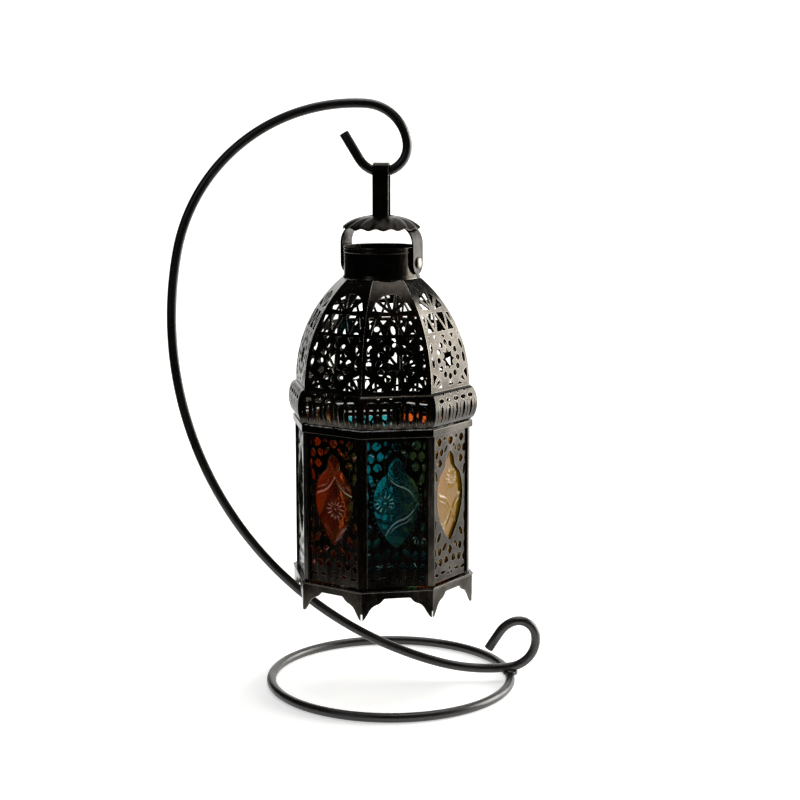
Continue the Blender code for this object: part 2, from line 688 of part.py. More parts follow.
# ---------------------------------------------------------------- door
def make_door(material, glass, pin_material, door_pivot):
    """Framed leaf with its own filigree sheet and pane, a hinge leaf and a pull."""
    low, high = DOOR_Z

    def hang(name, bm, own_material):
        """Move a shape from the face's frame to the hinge axis."""
        bmesh.ops.translate(bm, verts=bm.verts[:], vec=(-HINGE_X, HINGE_APOTHEM, 0.0))
        add_piece(name, finished_mesh(name, bm), own_material, parent=door_pivot)

    number = DOOR_FACE + 1
    sheet = flat_sheet(panel_loops(DOOR_HALF, low, high), SHEET)
    hang("filigree_panel_%d" % number, follow_profile(sheet, upright(DOOR_APOTHEM)), material)

    width, depth = DOOR_FRAME
    behind = DOOR_APOTHEM - SHEET - GAP
    loops = [rectangle(DOOR_HALF, low, high),
             rectangle(DOOR_HALF - width, low + width, high - width)]
    hang("door_frame", follow_profile(flat_sheet(loops, depth), upright(behind)), material)

    inset = width + GAP
    pane = flat_sheet([rectangle(DOOR_HALF - inset, low + inset, high - inset)], GLASS)
    hang("glass_pane_%d" % number, follow_profile(pane, upright(behind)), glass)

    hang("door_hinge_leaf", hinge_leaf(1.0, KNUCKLE_Z[1] + GAP, KNUCKLE_Z[2] - GAP), material)

    x, level = PULL_AT
    base = DOOR_APOTHEM + GAP
    knob = turned([(0.0, 0.0), (1.5 * MM, 0.0), (1.0 * MM, 1.2 * MM), (2.2 * MM, 2.4 * MM),
                   (1.8 * MM, 3.4 * MM), (0.0, 3.8 * MM)], 16)
    bmesh.ops.rotate(knob, verts=knob.verts[:], cent=(0.0, 0.0, 0.0),
                     matrix=Matrix.Rotation(math.pi / 2.0, 3, "X"))
    bmesh.ops.translate(knob, verts=knob.verts[:], vec=(x, -base, level - RIVET_Z))
    hang("door_pull", knob, pin_material)


def hinge_leaf(side, low, high):
    """Knuckle and tab in the door's face frame; side is +1 for the door, -1 for the post."""
    reach = 2.7 * MM
    thick = 0.7 * MM
    barrel = arc_points((0.0, 0.0), KNUCKLE, 90.0, -300.0, 15)
    outline = [(-reach, KNUCKLE)] + barrel + [(-reach, KNUCKLE - thick)]
    bore = oval((0.0, 0.0), HINGE_PIN + GAP, HINGE_PIN + GAP)
    loops = []
    for loop in (outline, bore):
        loops.append([(HINGE_X - side * x, y - HINGE_APOTHEM) for x, y in loop])
    return column(loops, low - RIVET_Z, high - RIVET_Z)


def make_hinge(material, pin_material, pivot):
    """The post's two knuckles and the pin that the door turns on."""
    turn = FIRST_FACE + STEP * DOOR_FACE
    for name, low, high in (("hinge_leaf_lower", KNUCKLE_Z[0], KNUCKLE_Z[1]),
                            ("hinge_leaf_upper", KNUCKLE_Z[2], KNUCKLE_Z[3])):
        mesh = finished_mesh(name, hinge_leaf(-1.0, low, high))
        add_piece(name, mesh, material, parent=pivot, angle=turn)
    low = KNUCKLE_Z[0] - 0.8 * MM - RIVET_Z
    high = KNUCKLE_Z[3] + GAP - RIVET_Z
    profile = [(0.0, high + 1.0 * MM), (HINGE_PIN * 2.0, high + 0.6 * MM), (HINGE_PIN * 2.0, high),
               (HINGE_PIN, high), (HINGE_PIN, low), (0.0, low)]
    pin = turned(profile, 12)
    bmesh.ops.translate(pin, verts=pin.verts[:], vec=(HINGE_X, -HINGE_APOTHEM, 0.0))
    add_piece("hinge_pin", finished_mesh("hinge_pin", pin), pin_material, parent=pivot, angle=turn)


# ---------------------------------------------------------------- candle
def make_candle(tin, wax, wick, steel, pivot, candle_pivot):
    """Retaining ring on the floor, and the tealight that lifts out of it."""
    wall = SHEET
    level = FLOOR_TOP + GAP - RIVET_Z
    ring = [(HOLDER_RADIUS, level + HOLDER_HEIGHT), (HOLDER_RADIUS, level),
            (HOLDER_RADIUS - wall, level), (HOLDER_RADIUS - wall, level + HOLDER_HEIGHT)]
    add_piece("candle_holder", finished_mesh("candle_holder", turned(ring, 40)), steel, parent=pivot)

    inner = TEALIGHT_RADIUS - TEALIGHT_SHEET
    top = TEALIGHT_HEIGHT
    cup = [(TEALIGHT_RADIUS, top), (TEALIGHT_RADIUS, 0.0), (0.0, 0.0), (0.0, TEALIGHT_SHEET),
           (inner, TEALIGHT_SHEET), (inner, top)]
    add_piece("tealight_cup", finished_mesh("tealight_cup", turned(cup, 40)), tin,
              parent=candle_pivot)

    low = TEALIGHT_SHEET + GAP
    radius = inner - GAP
    clear = WICK_RADIUS + GAP
    fill = [(radius, WAX_TOP), (radius, low), (clear, low), (clear, WAX_TOP - 0.6 * MM),
            (radius * 0.5, WAX_TOP - 0.5 * MM)]
    add_piece("tealight_wax", finished_mesh("tealight_wax", turned(fill, 32)), wax,
              parent=candle_pivot)

    thread = [(WICK_RADIUS, WICK_TOP), (WICK_RADIUS, low), (0.0, low), (0.0, WICK_TOP)]
    add_piece("tealight_wick", finished_mesh("tealight_wick", turned(thread, 8)), wick,
              parent=candle_pivot)


# ---------------------------------------------------------------- assembly
def build():
    for item in list(bpy.data.objects):
        bpy.data.objects.remove(item, do_unlink=True)

    black_wire = make_material("black_wire", (0.020, 0.019, 0.018), 0.45, 0.6)
    dark_tin = make_material("dark_tin", (0.030, 0.026, 0.020), 0.40, 0.8)
    steel = make_material("rivet_steel", (0.25, 0.24, 0.22), 0.35, 1.0)
    tin = make_material("tealight_tin", (0.60, 0.60, 0.60), 0.30, 1.0)
    wax = make_material("wax", (0.85, 0.82, 0.74), 0.50)
    wick = make_material("wick", (0.80, 0.78, 0.72), 0.90)
    glasses = [make_material("glass_" + name, color, 0.15, 0.0, 0.6) for name, color in (
        ("blue", (0.02, 0.20, 0.28)), ("amber", (0.55, 0.32, 0.05)),
        ("green", (0.05, 0.25, 0.08)), ("red", (0.50, 0.06, 0.03)))]

    make_base_ring(black_wire)
    make_hook_arm(black_wire)
    make_ring_weld(black_wire)

    hook_pivot = add_pivot("hook_pivot", (LANTERN_X, 0.0, HOOK_Z))
    crown_pivot = add_pivot("crown_pivot", (0.0, 0.0, CROWN_Z - HOOK_Z), hook_pivot)
    lantern_pivot = add_pivot("lantern_pivot", (0.0, 0.0, RIVET_Z - CROWN_Z), crown_pivot)
    door_turn = FIRST_FACE + STEP * DOOR_FACE
    hinge_at = Matrix.Rotation(door_turn, 3, "Z") @ Vector((HINGE_X, -HINGE_APOTHEM, 0.0))
    door_pivot = add_pivot("door_pivot", hinge_at, lantern_pivot, door_turn)
    seat = FLOOR_TOP + GAP - RIVET_Z
    candle_pivot = add_pivot("candle_pivot", (0.0, 0.0, seat), lantern_pivot)

    make_hanging_loop(dark_tin, hook_pivot)
    make_bail_strap(dark_tin, crown_pivot)
    make_heat_cap(dark_tin, crown_pivot)
    make_bail_rivets(steel, lantern_pivot)
    make_collar(dark_tin, lantern_pivot)
    make_dome_panels(dark_tin, lantern_pivot)
    make_gallery_band(dark_tin, lantern_pivot)
    make_top_frame(dark_tin, lantern_pivot)
    make_corner_posts(dark_tin, lantern_pivot)
    make_panels(dark_tin, lantern_pivot)
    make_panes(glasses, lantern_pivot)
    make_base_tray(dark_tin, lantern_pivot)
    make_skirt(dark_tin, lantern_pivot)
    make_door(dark_tin, glasses[DOOR_FACE % len(glasses)], steel, door_pivot)
    make_hinge(dark_tin, steel, lantern_pivot)
    make_candle(tin, wax, wick, dark_tin, lantern_pivot, candle_pivot)
    bpy.context.view_layer.update()


build()
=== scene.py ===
# %% [markdown]
# # A candle lantern on a bent wire stand
#
# The object is a small eight-sided tin lantern with coloured glass, hung from
# one long piece of round wire that is welded to a wire ring.  Each cell below
# makes one real piece of it, in the order in which a workshop would: the wire
# stand, the hanging gear, the pierced tin, the glass, the door and the candle.
#
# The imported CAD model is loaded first.  It fixes where every piece goes and
# which body it moves with, so the finer pieces made here are measured from it.

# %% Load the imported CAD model
import math

import bmesh
import bpy
from mathutils import Matrix, Vector, noise


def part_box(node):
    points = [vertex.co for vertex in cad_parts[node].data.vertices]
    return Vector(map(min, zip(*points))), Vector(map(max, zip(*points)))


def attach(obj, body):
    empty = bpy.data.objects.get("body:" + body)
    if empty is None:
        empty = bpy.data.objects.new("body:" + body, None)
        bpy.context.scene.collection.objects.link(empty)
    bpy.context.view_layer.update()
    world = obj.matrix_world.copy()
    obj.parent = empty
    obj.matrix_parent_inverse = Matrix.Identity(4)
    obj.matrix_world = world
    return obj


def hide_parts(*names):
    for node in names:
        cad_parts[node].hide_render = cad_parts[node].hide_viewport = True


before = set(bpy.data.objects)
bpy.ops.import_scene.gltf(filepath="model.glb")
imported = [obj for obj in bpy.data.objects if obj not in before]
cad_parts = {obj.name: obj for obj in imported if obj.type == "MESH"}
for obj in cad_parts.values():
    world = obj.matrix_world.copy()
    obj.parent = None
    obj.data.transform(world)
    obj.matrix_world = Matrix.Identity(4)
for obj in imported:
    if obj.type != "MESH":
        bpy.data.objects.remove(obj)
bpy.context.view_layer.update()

# %% [markdown]
# ## Sizes
#
# Everything is in millimetres here and turned into metres by MM.  The stand is
# 5 mm wire.  The lantern is an octagon, so one number, the angle of 45 degrees
# from face to face, sets every mitre in it.

# %% Sizes in metres
MM = 0.001
FACES = 8
STEP = math.radians(45.0)
MITRE = math.tan(STEP / 2.0)
FIRST_FACE = math.radians(10.5)  # the face that looks forward, turned a little right
BAIL_ANGLE = math.radians(65.0)  # the line through the two rivets

WIRE = 5.0 * MM
SHEET = 0.8 * MM  # tinplate

collar_low, collar_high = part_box("collar")
ring_low, ring_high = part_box("base_ring")
AXIS = Vector(((collar_low.x + collar_high.x) / 2.0, (collar_low.y + collar_high.y) / 2.0, 0.0))
RING_CENTRE = Vector(((ring_low.x + ring_high.x) / 2.0, 0.0, WIRE / 2.0))
CROWN_Z = 249.5 * MM  # middle of the strap over the collar
RIVET_Z = 229.7 * MM
print("lantern axis", tuple(round(value / MM, 2) for value in AXIS), "mm")

# %% [markdown]
# ## Colour and node helpers
#
# Colours are written as the hex codes a paint chart would give and turned into
# the linear values that the shader works in.  One helper adds any node, sets
# its fields and feeds its sockets, so each material reads as a short list.

# %% Add nodes and turn hex codes into linear colour
def linear(code):
    """An sRGB hex code as a linear colour."""
    channels = [int(code[start:start + 2], 16) / 255.0 for start in (1, 3, 5)]
    return tuple(value / 12.92 if value <= 0.04045 else ((value + 0.055) / 1.055) ** 2.4
                 for value in channels) + (1.0,)


def feed(tree, node, inputs):
    """Set a node's sockets to values, or link them to other sockets."""
    for socket, value in inputs.items():
        if isinstance(value, bpy.types.NodeSocket):
            tree.links.new(value, node.inputs[socket])
        else:
            node.inputs[socket].default_value = value


def add_node(tree, kind, inputs=None, **fields):
    """A node with its own fields set and its sockets fed."""
    made = tree.nodes.new(kind)
    for field, value in fields.items():
        setattr(made, field, value)
    feed(tree, made, inputs or {})
    return made


def start_material(name):
    """An empty material with one Principled shader, and the object's own coordinates."""
    material = bpy.data.materials.new(name)
    material.use_nodes = True
    tree = material.node_tree
    place = add_node(tree, "ShaderNodeTexCoord").outputs["Object"]
    return material, tree, tree.nodes["Principled BSDF"], place


def per_metre(grain):
    """Scale of a pattern whose marks are about grain millimetres across."""
    return 1.0 / (grain * MM)


print("mid grey is", round(linear("#808080")[0], 3), "in linear light")

# %% [markdown]
# ## Black powder coat on steel wire
#
# The stand is dipped hot in black powder that melts to a slightly lumpy satin
# skin.  A 0.9 mm noise gives the orange-peel bumps, and a 0.8 mm speckle
# lightens the tips where dust and handling have dulled them.  The skin is a
# little thinner and glossier in patches about 20 mm long.

# %% Make the powder coat
def make_powder_coat():
    material, tree, shader, place = start_material("black powder-coated steel wire")
    peel = add_node(tree, "ShaderNodeTexNoise",
                    {"Vector": place, "Scale": per_metre(0.9), "Detail": 3.0, "Roughness": 0.6})
    speckle = add_node(tree, "ShaderNodeTexVoronoi", {"Vector": place, "Scale": per_metre(0.8)})
    tips = add_node(tree, "ShaderNodeMapRange", {"Value": speckle.outputs["Distance"],
                    "From Min": 0.10, "From Max": 0.32, "To Min": 0.75, "To Max": 0.0})
    patches = add_node(tree, "ShaderNodeTexNoise",
                       {"Vector": place, "Scale": per_metre(20.0), "Detail": 2.0})
    tint = add_node(tree, "ShaderNodeMix", {"Factor": tips.outputs["Result"],
                    "A": linear("#17120f"), "B": linear("#4a443d")}, data_type="RGBA")
    sheen = add_node(tree, "ShaderNodeMapRange", {"Value": patches.outputs["Fac"],
                     "From Min": 0.35, "From Max": 0.65, "To Min": 0.24, "To Max": 0.40})
    bump = add_node(tree, "ShaderNodeBump", {"Height": peel.outputs["Fac"],
                    "Distance": 0.12 * MM, "Strength": 0.55})
    feed(tree, shader, {"Base Color": tint.outputs[2], "Roughness": sheen.outputs["Result"],
                        "Normal": bump.outputs["Normal"], "Specular IOR Level": 0.7})
    return material


powder_coat = make_powder_coat()
print("made", powder_coat.name)

# %% [markdown]
# ## Blackened tinplate
#
# The lantern is thin tinned steel, blackened with a dark bronze lacquer.  It is
# a metal, so it takes its brightness from what it mirrors.  The lacquer is
# brushed on in streaks, rubs thin to a paler grey on the edges, and is cloudy
# and nearly black where it pooled.  The cap over the flame gets a darker copy
# with a rougher, duller gloss; its darker colours are painted shade.

# %% Make the dark tin and its darker copy with painted shade
def make_dark_tin(name, thin, middle, thick, gloss):
    material, tree, shader, place = start_material(name)
    clouds = add_node(tree, "ShaderNodeTexNoise",
                      {"Vector": place, "Scale": per_metre(14.0), "Detail": 4.0, "Roughness": 0.6})
    stretch = add_node(tree, "ShaderNodeMapping", {"Vector": place, "Scale": (1.0, 1.0, 0.15)})
    streaks = add_node(tree, "ShaderNodeTexNoise", {"Vector": stretch.outputs["Vector"],
                       "Scale": per_metre(1.6), "Detail": 4.0, "Roughness": 0.65})
    pool = add_node(tree, "ShaderNodeValToRGB", {"Fac": clouds.outputs["Fac"]})
    pool.color_ramp.elements[0].position = 0.36
    pool.color_ramp.elements[0].color = linear(thick)
    pool.color_ramp.elements[1].position = 0.68
    pool.color_ramp.elements[1].color = linear(thin)
    pool.color_ramp.elements.new(0.52).color = linear(middle)
    edge = add_node(tree, "ShaderNodeBevel", {"Radius": 0.5 * MM}, samples=4)
    flat = add_node(tree, "ShaderNodeNewGeometry")
    bend = add_node(tree, "ShaderNodeVectorMath",
                    {0: edge.outputs["Normal"], 1: flat.outputs["Normal"]}, operation="DOT_PRODUCT")
    rubbed = add_node(tree, "ShaderNodeMapRange", {"Value": bend.outputs["Value"],
                      "From Min": 0.985, "From Max": 0.82, "To Min": 0.0, "To Max": 0.8})
    worn = add_node(tree, "ShaderNodeMix", {"Factor": rubbed.outputs["Result"],
                    "A": pool.outputs["Color"], "B": linear("#8f8a80")}, data_type="RGBA")
    rough = add_node(tree, "ShaderNodeMapRange", {"Value": streaks.outputs["Fac"],
                     "From Min": 0.3, "From Max": 0.7, "To Min": gloss, "To Max": gloss + 0.16})
    bump = add_node(tree, "ShaderNodeBump", {"Height": streaks.outputs["Fac"],
                    "Distance": 0.05 * MM, "Strength": 0.35})
    feed(tree, shader, {"Base Color": worn.outputs[2], "Roughness": rough.outputs["Result"],
                        "Normal": bump.outputs["Normal"], "Metallic": 1.0})
    return material


dark_tin = make_dark_tin("lacquered blackened tinplate", "#47433e", "#35312c", "#24211d", 0.14)
# The cap's copy: its darker colours are painted shade, and its higher roughness gives a duller
# gloss.
shade_painted_tin = make_dark_tin("darker blackened tinplate with painted shade", "#332f2a", "#24201c", "#161412", 0.26)
print("made", dark_tin.name, "and", shade_painted_tin.name)

# %% [markdown]
# ## Pressed coloured glass
#
# The panes are cast in a patterned mould, so their relief is real geometry.
# The melt is coloured right through; the amber is a little milky, so it also
# glows where light falls on it.  A slow waviness in the surface bends what is
# seen through it, and grime dulls it in patches.

# %% Make the four glasses
def make_glass(name, body_colour, clear=0.92, gleam=0.5):
    material, tree, shader, place = start_material(name)
    waves = add_node(tree, "ShaderNodeTexNoise",
                     {"Vector": place, "Scale": per_metre(4.5), "Detail": 2.0})
    bump = add_node(tree, "ShaderNodeBump", {"Height": waves.outputs["Fac"],
                    "Distance": 0.2 * MM, "Strength": 0.25})
    grime = add_node(tree, "ShaderNodeMapRange", {"Value": waves.outputs["Fac"],
                     "From Min": 0.4, "From Max": 0.7, "To Min": 0.04, "To Max": 0.12})
    feed(tree, shader, {"Base Color": linear(body_colour), "Roughness": grime.outputs["Result"],
                        "Normal": bump.outputs["Normal"], "Transmission Weight": clear,
                        "Specular IOR Level": gleam, "IOR": 1.5})
    return material


glass_blue = make_glass("pressed teal-blue glass", "#2f9298")
glass_amber = make_glass("pressed amber glass", "#ad8008", clear=0.6, gleam=0.02)
glass_green = make_glass("pressed green glass", "#4f9660")
glass_red = make_glass("pressed red-orange glass", "#b9511f")
GLASSES = (("glass_blue", glass_blue), ("glass_amber", glass_amber),
           ("glass_green", glass_green), ("glass_red", glass_red))
print("made", len(GLASSES), "glasses")

# %% [markdown]
# ## Rivet steel, tealight tin, wax and wick
#
# The rivets and the hinge pin are bare steel darkened by handling.  The
# tealight is drawn from thin bright aluminium with fine rolling lines.  Its wax
# lets light a few millimetres in, and the wick is plaited cotton.

# %% Make the steel, tin, wax and cotton
def make_steel(name, colour, rough, grain):
    material, tree, shader, place = start_material(name)
    marks = add_node(tree, "ShaderNodeTexNoise",
                     {"Vector": place, "Scale": per_metre(grain), "Detail": 4.0, "Roughness": 0.7})
    span = add_node(tree, "ShaderNodeMapRange", {"Value": marks.outputs["Fac"],
                    "From Min": 0.3, "From Max": 0.7, "To Min": rough, "To Max": rough + 0.2})
    bump = add_node(tree, "ShaderNodeBump", {"Height": marks.outputs["Fac"],
                    "Distance": 0.04 * MM, "Strength": 0.4})
    feed(tree, shader, {"Base Color": linear(colour), "Roughness": span.outputs["Result"],
                        "Normal": bump.outputs["Normal"], "Metallic": 1.0})
    return material


def make_soft(name, colour, rough, grain, depth):
    material, tree, shader, place = start_material(name)
    lumps = add_node(tree, "ShaderNodeTexNoise",
                     {"Vector": place, "Scale": per_metre(grain), "Detail": 2.0})
    bump = add_node(tree, "ShaderNodeBump", {"Height": lumps.outputs["Fac"],
                    "Distance": 0.1 * MM, "Strength": 0.4})
    feed(tree, shader, {"Base Color": linear(colour), "Roughness": rough,
                        "Normal": bump.outputs["Normal"],
                        "Subsurface Weight": 0.6 if depth else 0.0,
                        "Subsurface Scale": depth * MM})
    return material


rivet_steel = make_steel("handled rivet steel", "#8d867a", 0.28, 0.9)
tealight_tin = make_steel("drawn tealight aluminium", "#c9c9c7", 0.22, 0.5)
paraffin = make_soft("white paraffin wax", "#efe9dc", 0.45, 3.0, 3.0)
cotton = make_soft("plaited cotton wick", "#ded8c8", 0.9, 0.4, 0.0)
print("made", rivet_steel.name + ",", tealight_tin.name + ",", paraffin.name + ",", cotton.name)

# %% [markdown]
# ## Helpers that finish a piece
#
# Every piece is built straight in its place, so its object stays at the origin.
# A piece that is folded or cut from thick stock gets a small Bevel modifier,
# because a real edge is never sharp and the tiny round is what catches light.
# Each piece says here which body it moves with and which CAD nodes it stands for.

# %% Finish a piece and place it
def add_object(name, data):
    """A new object in the scene."""
    made = bpy.data.objects.new(name, data)
    bpy.context.scene.collection.objects.link(made)
    return made


def make_solid(name, bm, material):
    """Turn a bmesh into a smooth object of one material, its faces pointing out."""
    bmesh.ops.recalc_face_normals(bm, faces=bm.faces)
    mesh = bpy.data.meshes.new(name)
    bm.to_mesh(mesh)
    bm.free()
    mesh.materials.append(material)
    mesh.shade_smooth()
    return add_object(name, mesh)


def finish_piece(name, bm, material, body, nodes, slot, round_edge=0.0, sharp=32.0):
    """Finish a piece that stands for some CAD nodes, and print how fine it is."""
    piece = make_solid(name, bm, material)
    if round_edge:
        bevel = piece.modifiers.new("rounded edges", "BEVEL")
        bevel.width = round_edge
        bevel.segments = 2
        bevel.limit_method = "ANGLE"
        bevel.angle_limit = math.radians(sharp)
        bevel.harden_normals = True
    else:
        piece.data.set_sharp_from_angle(angle=math.radians(sharp))
    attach(piece, body)
    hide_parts(*nodes)
    print(name, "has", len(piece.data.polygons), "faces")


def put_round_lantern(bm, turn=0.0):
    """Turn a shape made on the -Y side of the origin to its place round the lantern."""
    bmesh.ops.rotate(bm, verts=bm.verts[:], cent=(0.0, 0.0, 0.0),
                     matrix=Matrix.Rotation(turn, 3, "Z"))
    bmesh.ops.translate(bm, verts=bm.verts[:], vec=AXIS)


def place_tin(node, ending, bm, turn=0.0, body="lantern", **edges):
    """Put a piece of dark tin in its place round the lantern, and finish it."""
    put_round_lantern(bm, turn)
    finish_piece(node + ending, bm, dark_tin, body, [node], "dark_tin", **edges)

# %% Draw an outline and spin it
def new_corners(grown):
    """The vertices among the parts that an operator made."""
    return [item for item in grown if isinstance(item, bmesh.types.BMVert)]


def in_mm(corners, lift=0.0):
    """Corners given in millimetres, turned into metres, with lift millimetres added on."""
    return [(across * MM, (up + lift) * MM) for across, up in corners]


def close_outline(bm, corners):
    """Join flat corners (across, up) into a closed outline."""
    verts = [bm.verts.new((across, 0.0, up)) for across, up in corners]
    for index, vert in enumerate(verts):
        bm.edges.new((vert, verts[index - 1]))


def mirrored(corners):
    """The same corners on the other side, walked back."""
    return [(-across, up) for across, up in reversed(corners)]


def arc(centre, radius, start, sweep, steps):
    """Points along an arc, angles in degrees."""
    return [(centre[0] + radius * math.cos(math.radians(start + sweep * index / steps)),
             centre[1] + radius * math.sin(math.radians(start + sweep * index / steps)))
            for index in range(steps + 1)]


def spin_round(bm, steps):
    """Spin a drawn outline once round the upright axis."""
    bmesh.ops.spin(bm, geom=bm.verts[:] + bm.edges[:], cent=(0.0, 0.0, 0.0),
                   axis=(0.0, 0.0, 1.0), angle=2.0 * math.pi, steps=steps, use_merge=True)
    bmesh.ops.remove_doubles(bm, verts=bm.verts[:], dist=0.002 * MM)


def spin_outline(corners, steps):
    """Turn a closed outline (radius, height) on the lathe."""
    bm = bmesh.new()
    close_outline(bm, corners)
    spin_round(bm, steps)
    return bm

# %% [markdown]
# ## Base ring
#
# The foot of the stand is one turn of the wire.  A circle of the wire's radius
# is stood up at the ring's radius and spun all the way round.

# %% Spin the base ring
RING_RADIUS = 65.2 * MM
BARE_WIRE = 4.98 * MM  # drawn a hair under size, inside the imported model

ring = bmesh.new()
bmesh.ops.create_circle(ring, segments=24, radius=BARE_WIRE / 2.0,
                        matrix=Matrix.Translation((RING_RADIUS, 0.0, 0.0))
                        @ Matrix.Rotation(math.pi / 2.0, 4, "X"))
spin_round(ring, 168)
bmesh.ops.translate(ring, verts=ring.verts[:], vec=RING_CENTRE)
finish_piece("base_ring_wire", ring, powder_coat, "stand", ["base_ring"], "black_wire", sharp=60.0)

# %% [markdown]
# ## Hook arm
#
# The arm is bent cold from one straight length.  It is made the same way: a
# circle is pushed along the heading for a straight, and spun about the centre
# of each bend in turn, so the recipe is a list of bend radii and degrees.

# %% Push the wire straight and round a bend
HOOK_TIP = (-5.8 * MM, 296.6 * MM)
HOOK_TIP_HEADING = -59.0
HOOK_TIP_STRAIGHT = 16.0 * MM
# Each bend: radius in mm and degrees.
ARM_BENDS = ((13.4, 155.9), (23.0, 79.9), (95.7, 81.8), (193.0, 86.1),
             (100.0, 22.5), (15.8, 94.0), (9.2, 101.0), (15.0, 35.0))
TAIL_STRAIGHT = 11.3 * MM
BEND_STEP = 2.4 * MM  # longest step along a bend
WIRE_END_ROUND = 0.45 * MM


def push_straight(bm, rim, heading, length):
    """Extrude the open end of the wire straight on."""
    grown = bmesh.ops.extrude_edge_only(bm, edges=rim)["geom"]
    verts = new_corners(grown)
    angle = math.radians(heading)
    bmesh.ops.translate(bm, verts=verts,
                        vec=(length * math.cos(angle), 0.0, length * math.sin(angle)))
    return [item for item in grown if isinstance(item, bmesh.types.BMEdge)
            and all(vert in verts for vert in item.verts)]


def push_bend(bm, rim, here, heading, radius, sweep):
    """Spin the open end round a bend, and say where the wire has got to."""
    side = math.radians(heading + 90.0)
    centre = (here[0] + radius * math.cos(side), 0.0, here[1] + radius * math.sin(side))
    verts = list({vert for edge in rim for vert in edge.verts})
    steps = max(6, math.ceil(radius * math.radians(sweep) / BEND_STEP))
    last = bmesh.ops.spin(bm, geom=verts + rim, cent=centre, axis=(0.0, -1.0, 0.0),
                          angle=math.radians(sweep), steps=steps)["geom_last"]
    after = side + math.radians(sweep)
    end = (centre[0] - radius * math.cos(after), centre[2] - radius * math.sin(after))
    return [item for item in last if isinstance(item, bmesh.types.BMEdge)], end


print("the arm turns", round(sum(sweep for _, sweep in ARM_BENDS), 1), "degrees in all")

# %% Bend the hook arm
def bend_the_arm():
    bm = bmesh.new()
    heading = HOOK_TIP_HEADING
    here = HOOK_TIP
    turn = Matrix.Rotation(math.radians(90.0 - heading), 4, "Y")
    bmesh.ops.create_circle(bm, segments=24, radius=BARE_WIRE / 2.0,
                            matrix=Matrix.Translation((here[0], 0.0, here[1])) @ turn)
    rim = push_straight(bm, bm.edges[:], heading, HOOK_TIP_STRAIGHT)
    along = math.radians(heading)
    here = (here[0] + HOOK_TIP_STRAIGHT * math.cos(along),
            here[1] + HOOK_TIP_STRAIGHT * math.sin(along))
    for radius, sweep in ARM_BENDS:
        rim, here = push_bend(bm, rim, here, heading, radius * MM, sweep)
        heading += sweep
    push_straight(bm, rim, heading, TAIL_STRAIGHT)
    bmesh.ops.holes_fill(bm, edges=[edge for edge in bm.edges if edge.is_boundary], sides=0)
    ends = [face for face in bm.faces if len(face.verts) > 4]
    bmesh.ops.bevel(bm, geom=[edge for face in ends for edge in face.edges],
                    offset=WIRE_END_ROUND, offset_type="OFFSET", segments=2, profile=0.5,
                    affect="EDGES", material=-1)
    return bm


finish_piece("hook_arm_wire", bend_the_arm(), powder_coat, "stand", ["hook_arm", "arm_foot"],
             "black_wire", sharp=50.0)

# %% [markdown]
# ## Weld bead
#
# Where the arm crosses the ring the two are tacked with one puddle of weld.
# It is a squashed ball with the ripples of a puddle that froze as it spread.

# %% Shape the weld bead
WELD_HALF, WELD_RISE = 4.2, 2.1  # of the puddle, in mm
WELD_LIFT = 2.6 * MM  # above the middle of the ring's wire

weld = bmesh.new()
bmesh.ops.create_uvsphere(weld, u_segments=36, v_segments=18, radius=1.0)
for vert in weld.verts:
    ripple = 1.0 + 0.05 * math.sin(9.0 * math.atan2(vert.co.y, vert.co.x)) \
        + 0.05 * noise.noise(vert.co * 3.0)
    vert.co = Vector((vert.co.x * WELD_HALF, vert.co.y * WELD_HALF,
                      vert.co.z * WELD_RISE)) * ripple * MM
bmesh.ops.translate(weld, verts=weld.verts[:],
                    vec=RING_CENTRE + Vector((RING_RADIUS, 0.0, WELD_LIFT)))
finish_piece("ring_weld_bead", weld, powder_coat, "stand", ["ring_weld"], "black_wire", sharp=60.0)

# %% [markdown]
# ## Flat sheets with holes
#
# All the tin is cut and pierced flat, then bent.  A sheet is drawn in a plane:
# an outline and its holes become one set of edges, a fill turns them into
# faces round the holes, cuts across it give it places to bend, and an
# extrusion gives it the thickness of the tin.

# %% Pierce and cut a sheet
def pierce(bm, across, up, width, height, turn=0.0, lobes=0, pinch=0.0, taper=0.0, steps=14):
    """One hole: a circle squeezed to size, with lobes pinched in and one end narrowed."""
    made = bmesh.ops.create_circle(bm, segments=steps, radius=1.0)["verts"]
    angle = math.radians(turn)
    for vert in made:
        way = math.atan2(vert.co.x, vert.co.y)
        reach = 1.0 - pinch * (0.5 - 0.5 * math.cos(lobes * way))
        right = vert.co.x * reach * (1.0 - taper * vert.co.y) * width / 2.0
        top = vert.co.y * reach * height / 2.0
        vert.co = (across + right * math.cos(angle) - top * math.sin(angle), 0.0,
                   up + right * math.sin(angle) + top * math.cos(angle))


def cut_sheet(bm, thickness, bends=()):
    """Fill between the outline and the holes, cut across at each bend, and thicken."""
    bmesh.ops.triangle_fill(bm, edges=bm.edges[:], use_beauty=True, use_dissolve=False)
    for height in bends:
        bmesh.ops.bisect_plane(bm, geom=bm.verts[:] + bm.edges[:] + bm.faces[:], dist=1e-6,
                               plane_co=(0.0, 0.0, height), plane_no=(0.0, 0.0, 1.0))
    grown = bmesh.ops.extrude_face_region(bm, geom=bm.faces[:])["geom"]
    bmesh.ops.translate(bm, verts=new_corners(grown), vec=(0.0, thickness, 0.0))


def blank(bm, half, low, high):
    """The four corners of a plain blank."""
    close_outline(bm, [(-half, low), (half, low), (half, high), (-half, high)])

# %% Bend a sheet
def bend_sheet(bm, profile, drawn_half, mitred=False):
    """Lay a flat sheet on one side of the lantern.

    profile(height) gives the distance from the axis, the level, the outward
    direction there as two parts, and the half width that drawn_half becomes.
    """
    for vert in bm.verts:
        depth = vert.co.y
        radius, level, out_r, out_z, half = profile(vert.co.z)
        inner = radius - depth * out_r
        across = vert.co.x * half / drawn_half
        if mitred:
            across *= inner / radius
        vert.co = (across, -inner, level - depth * out_z)


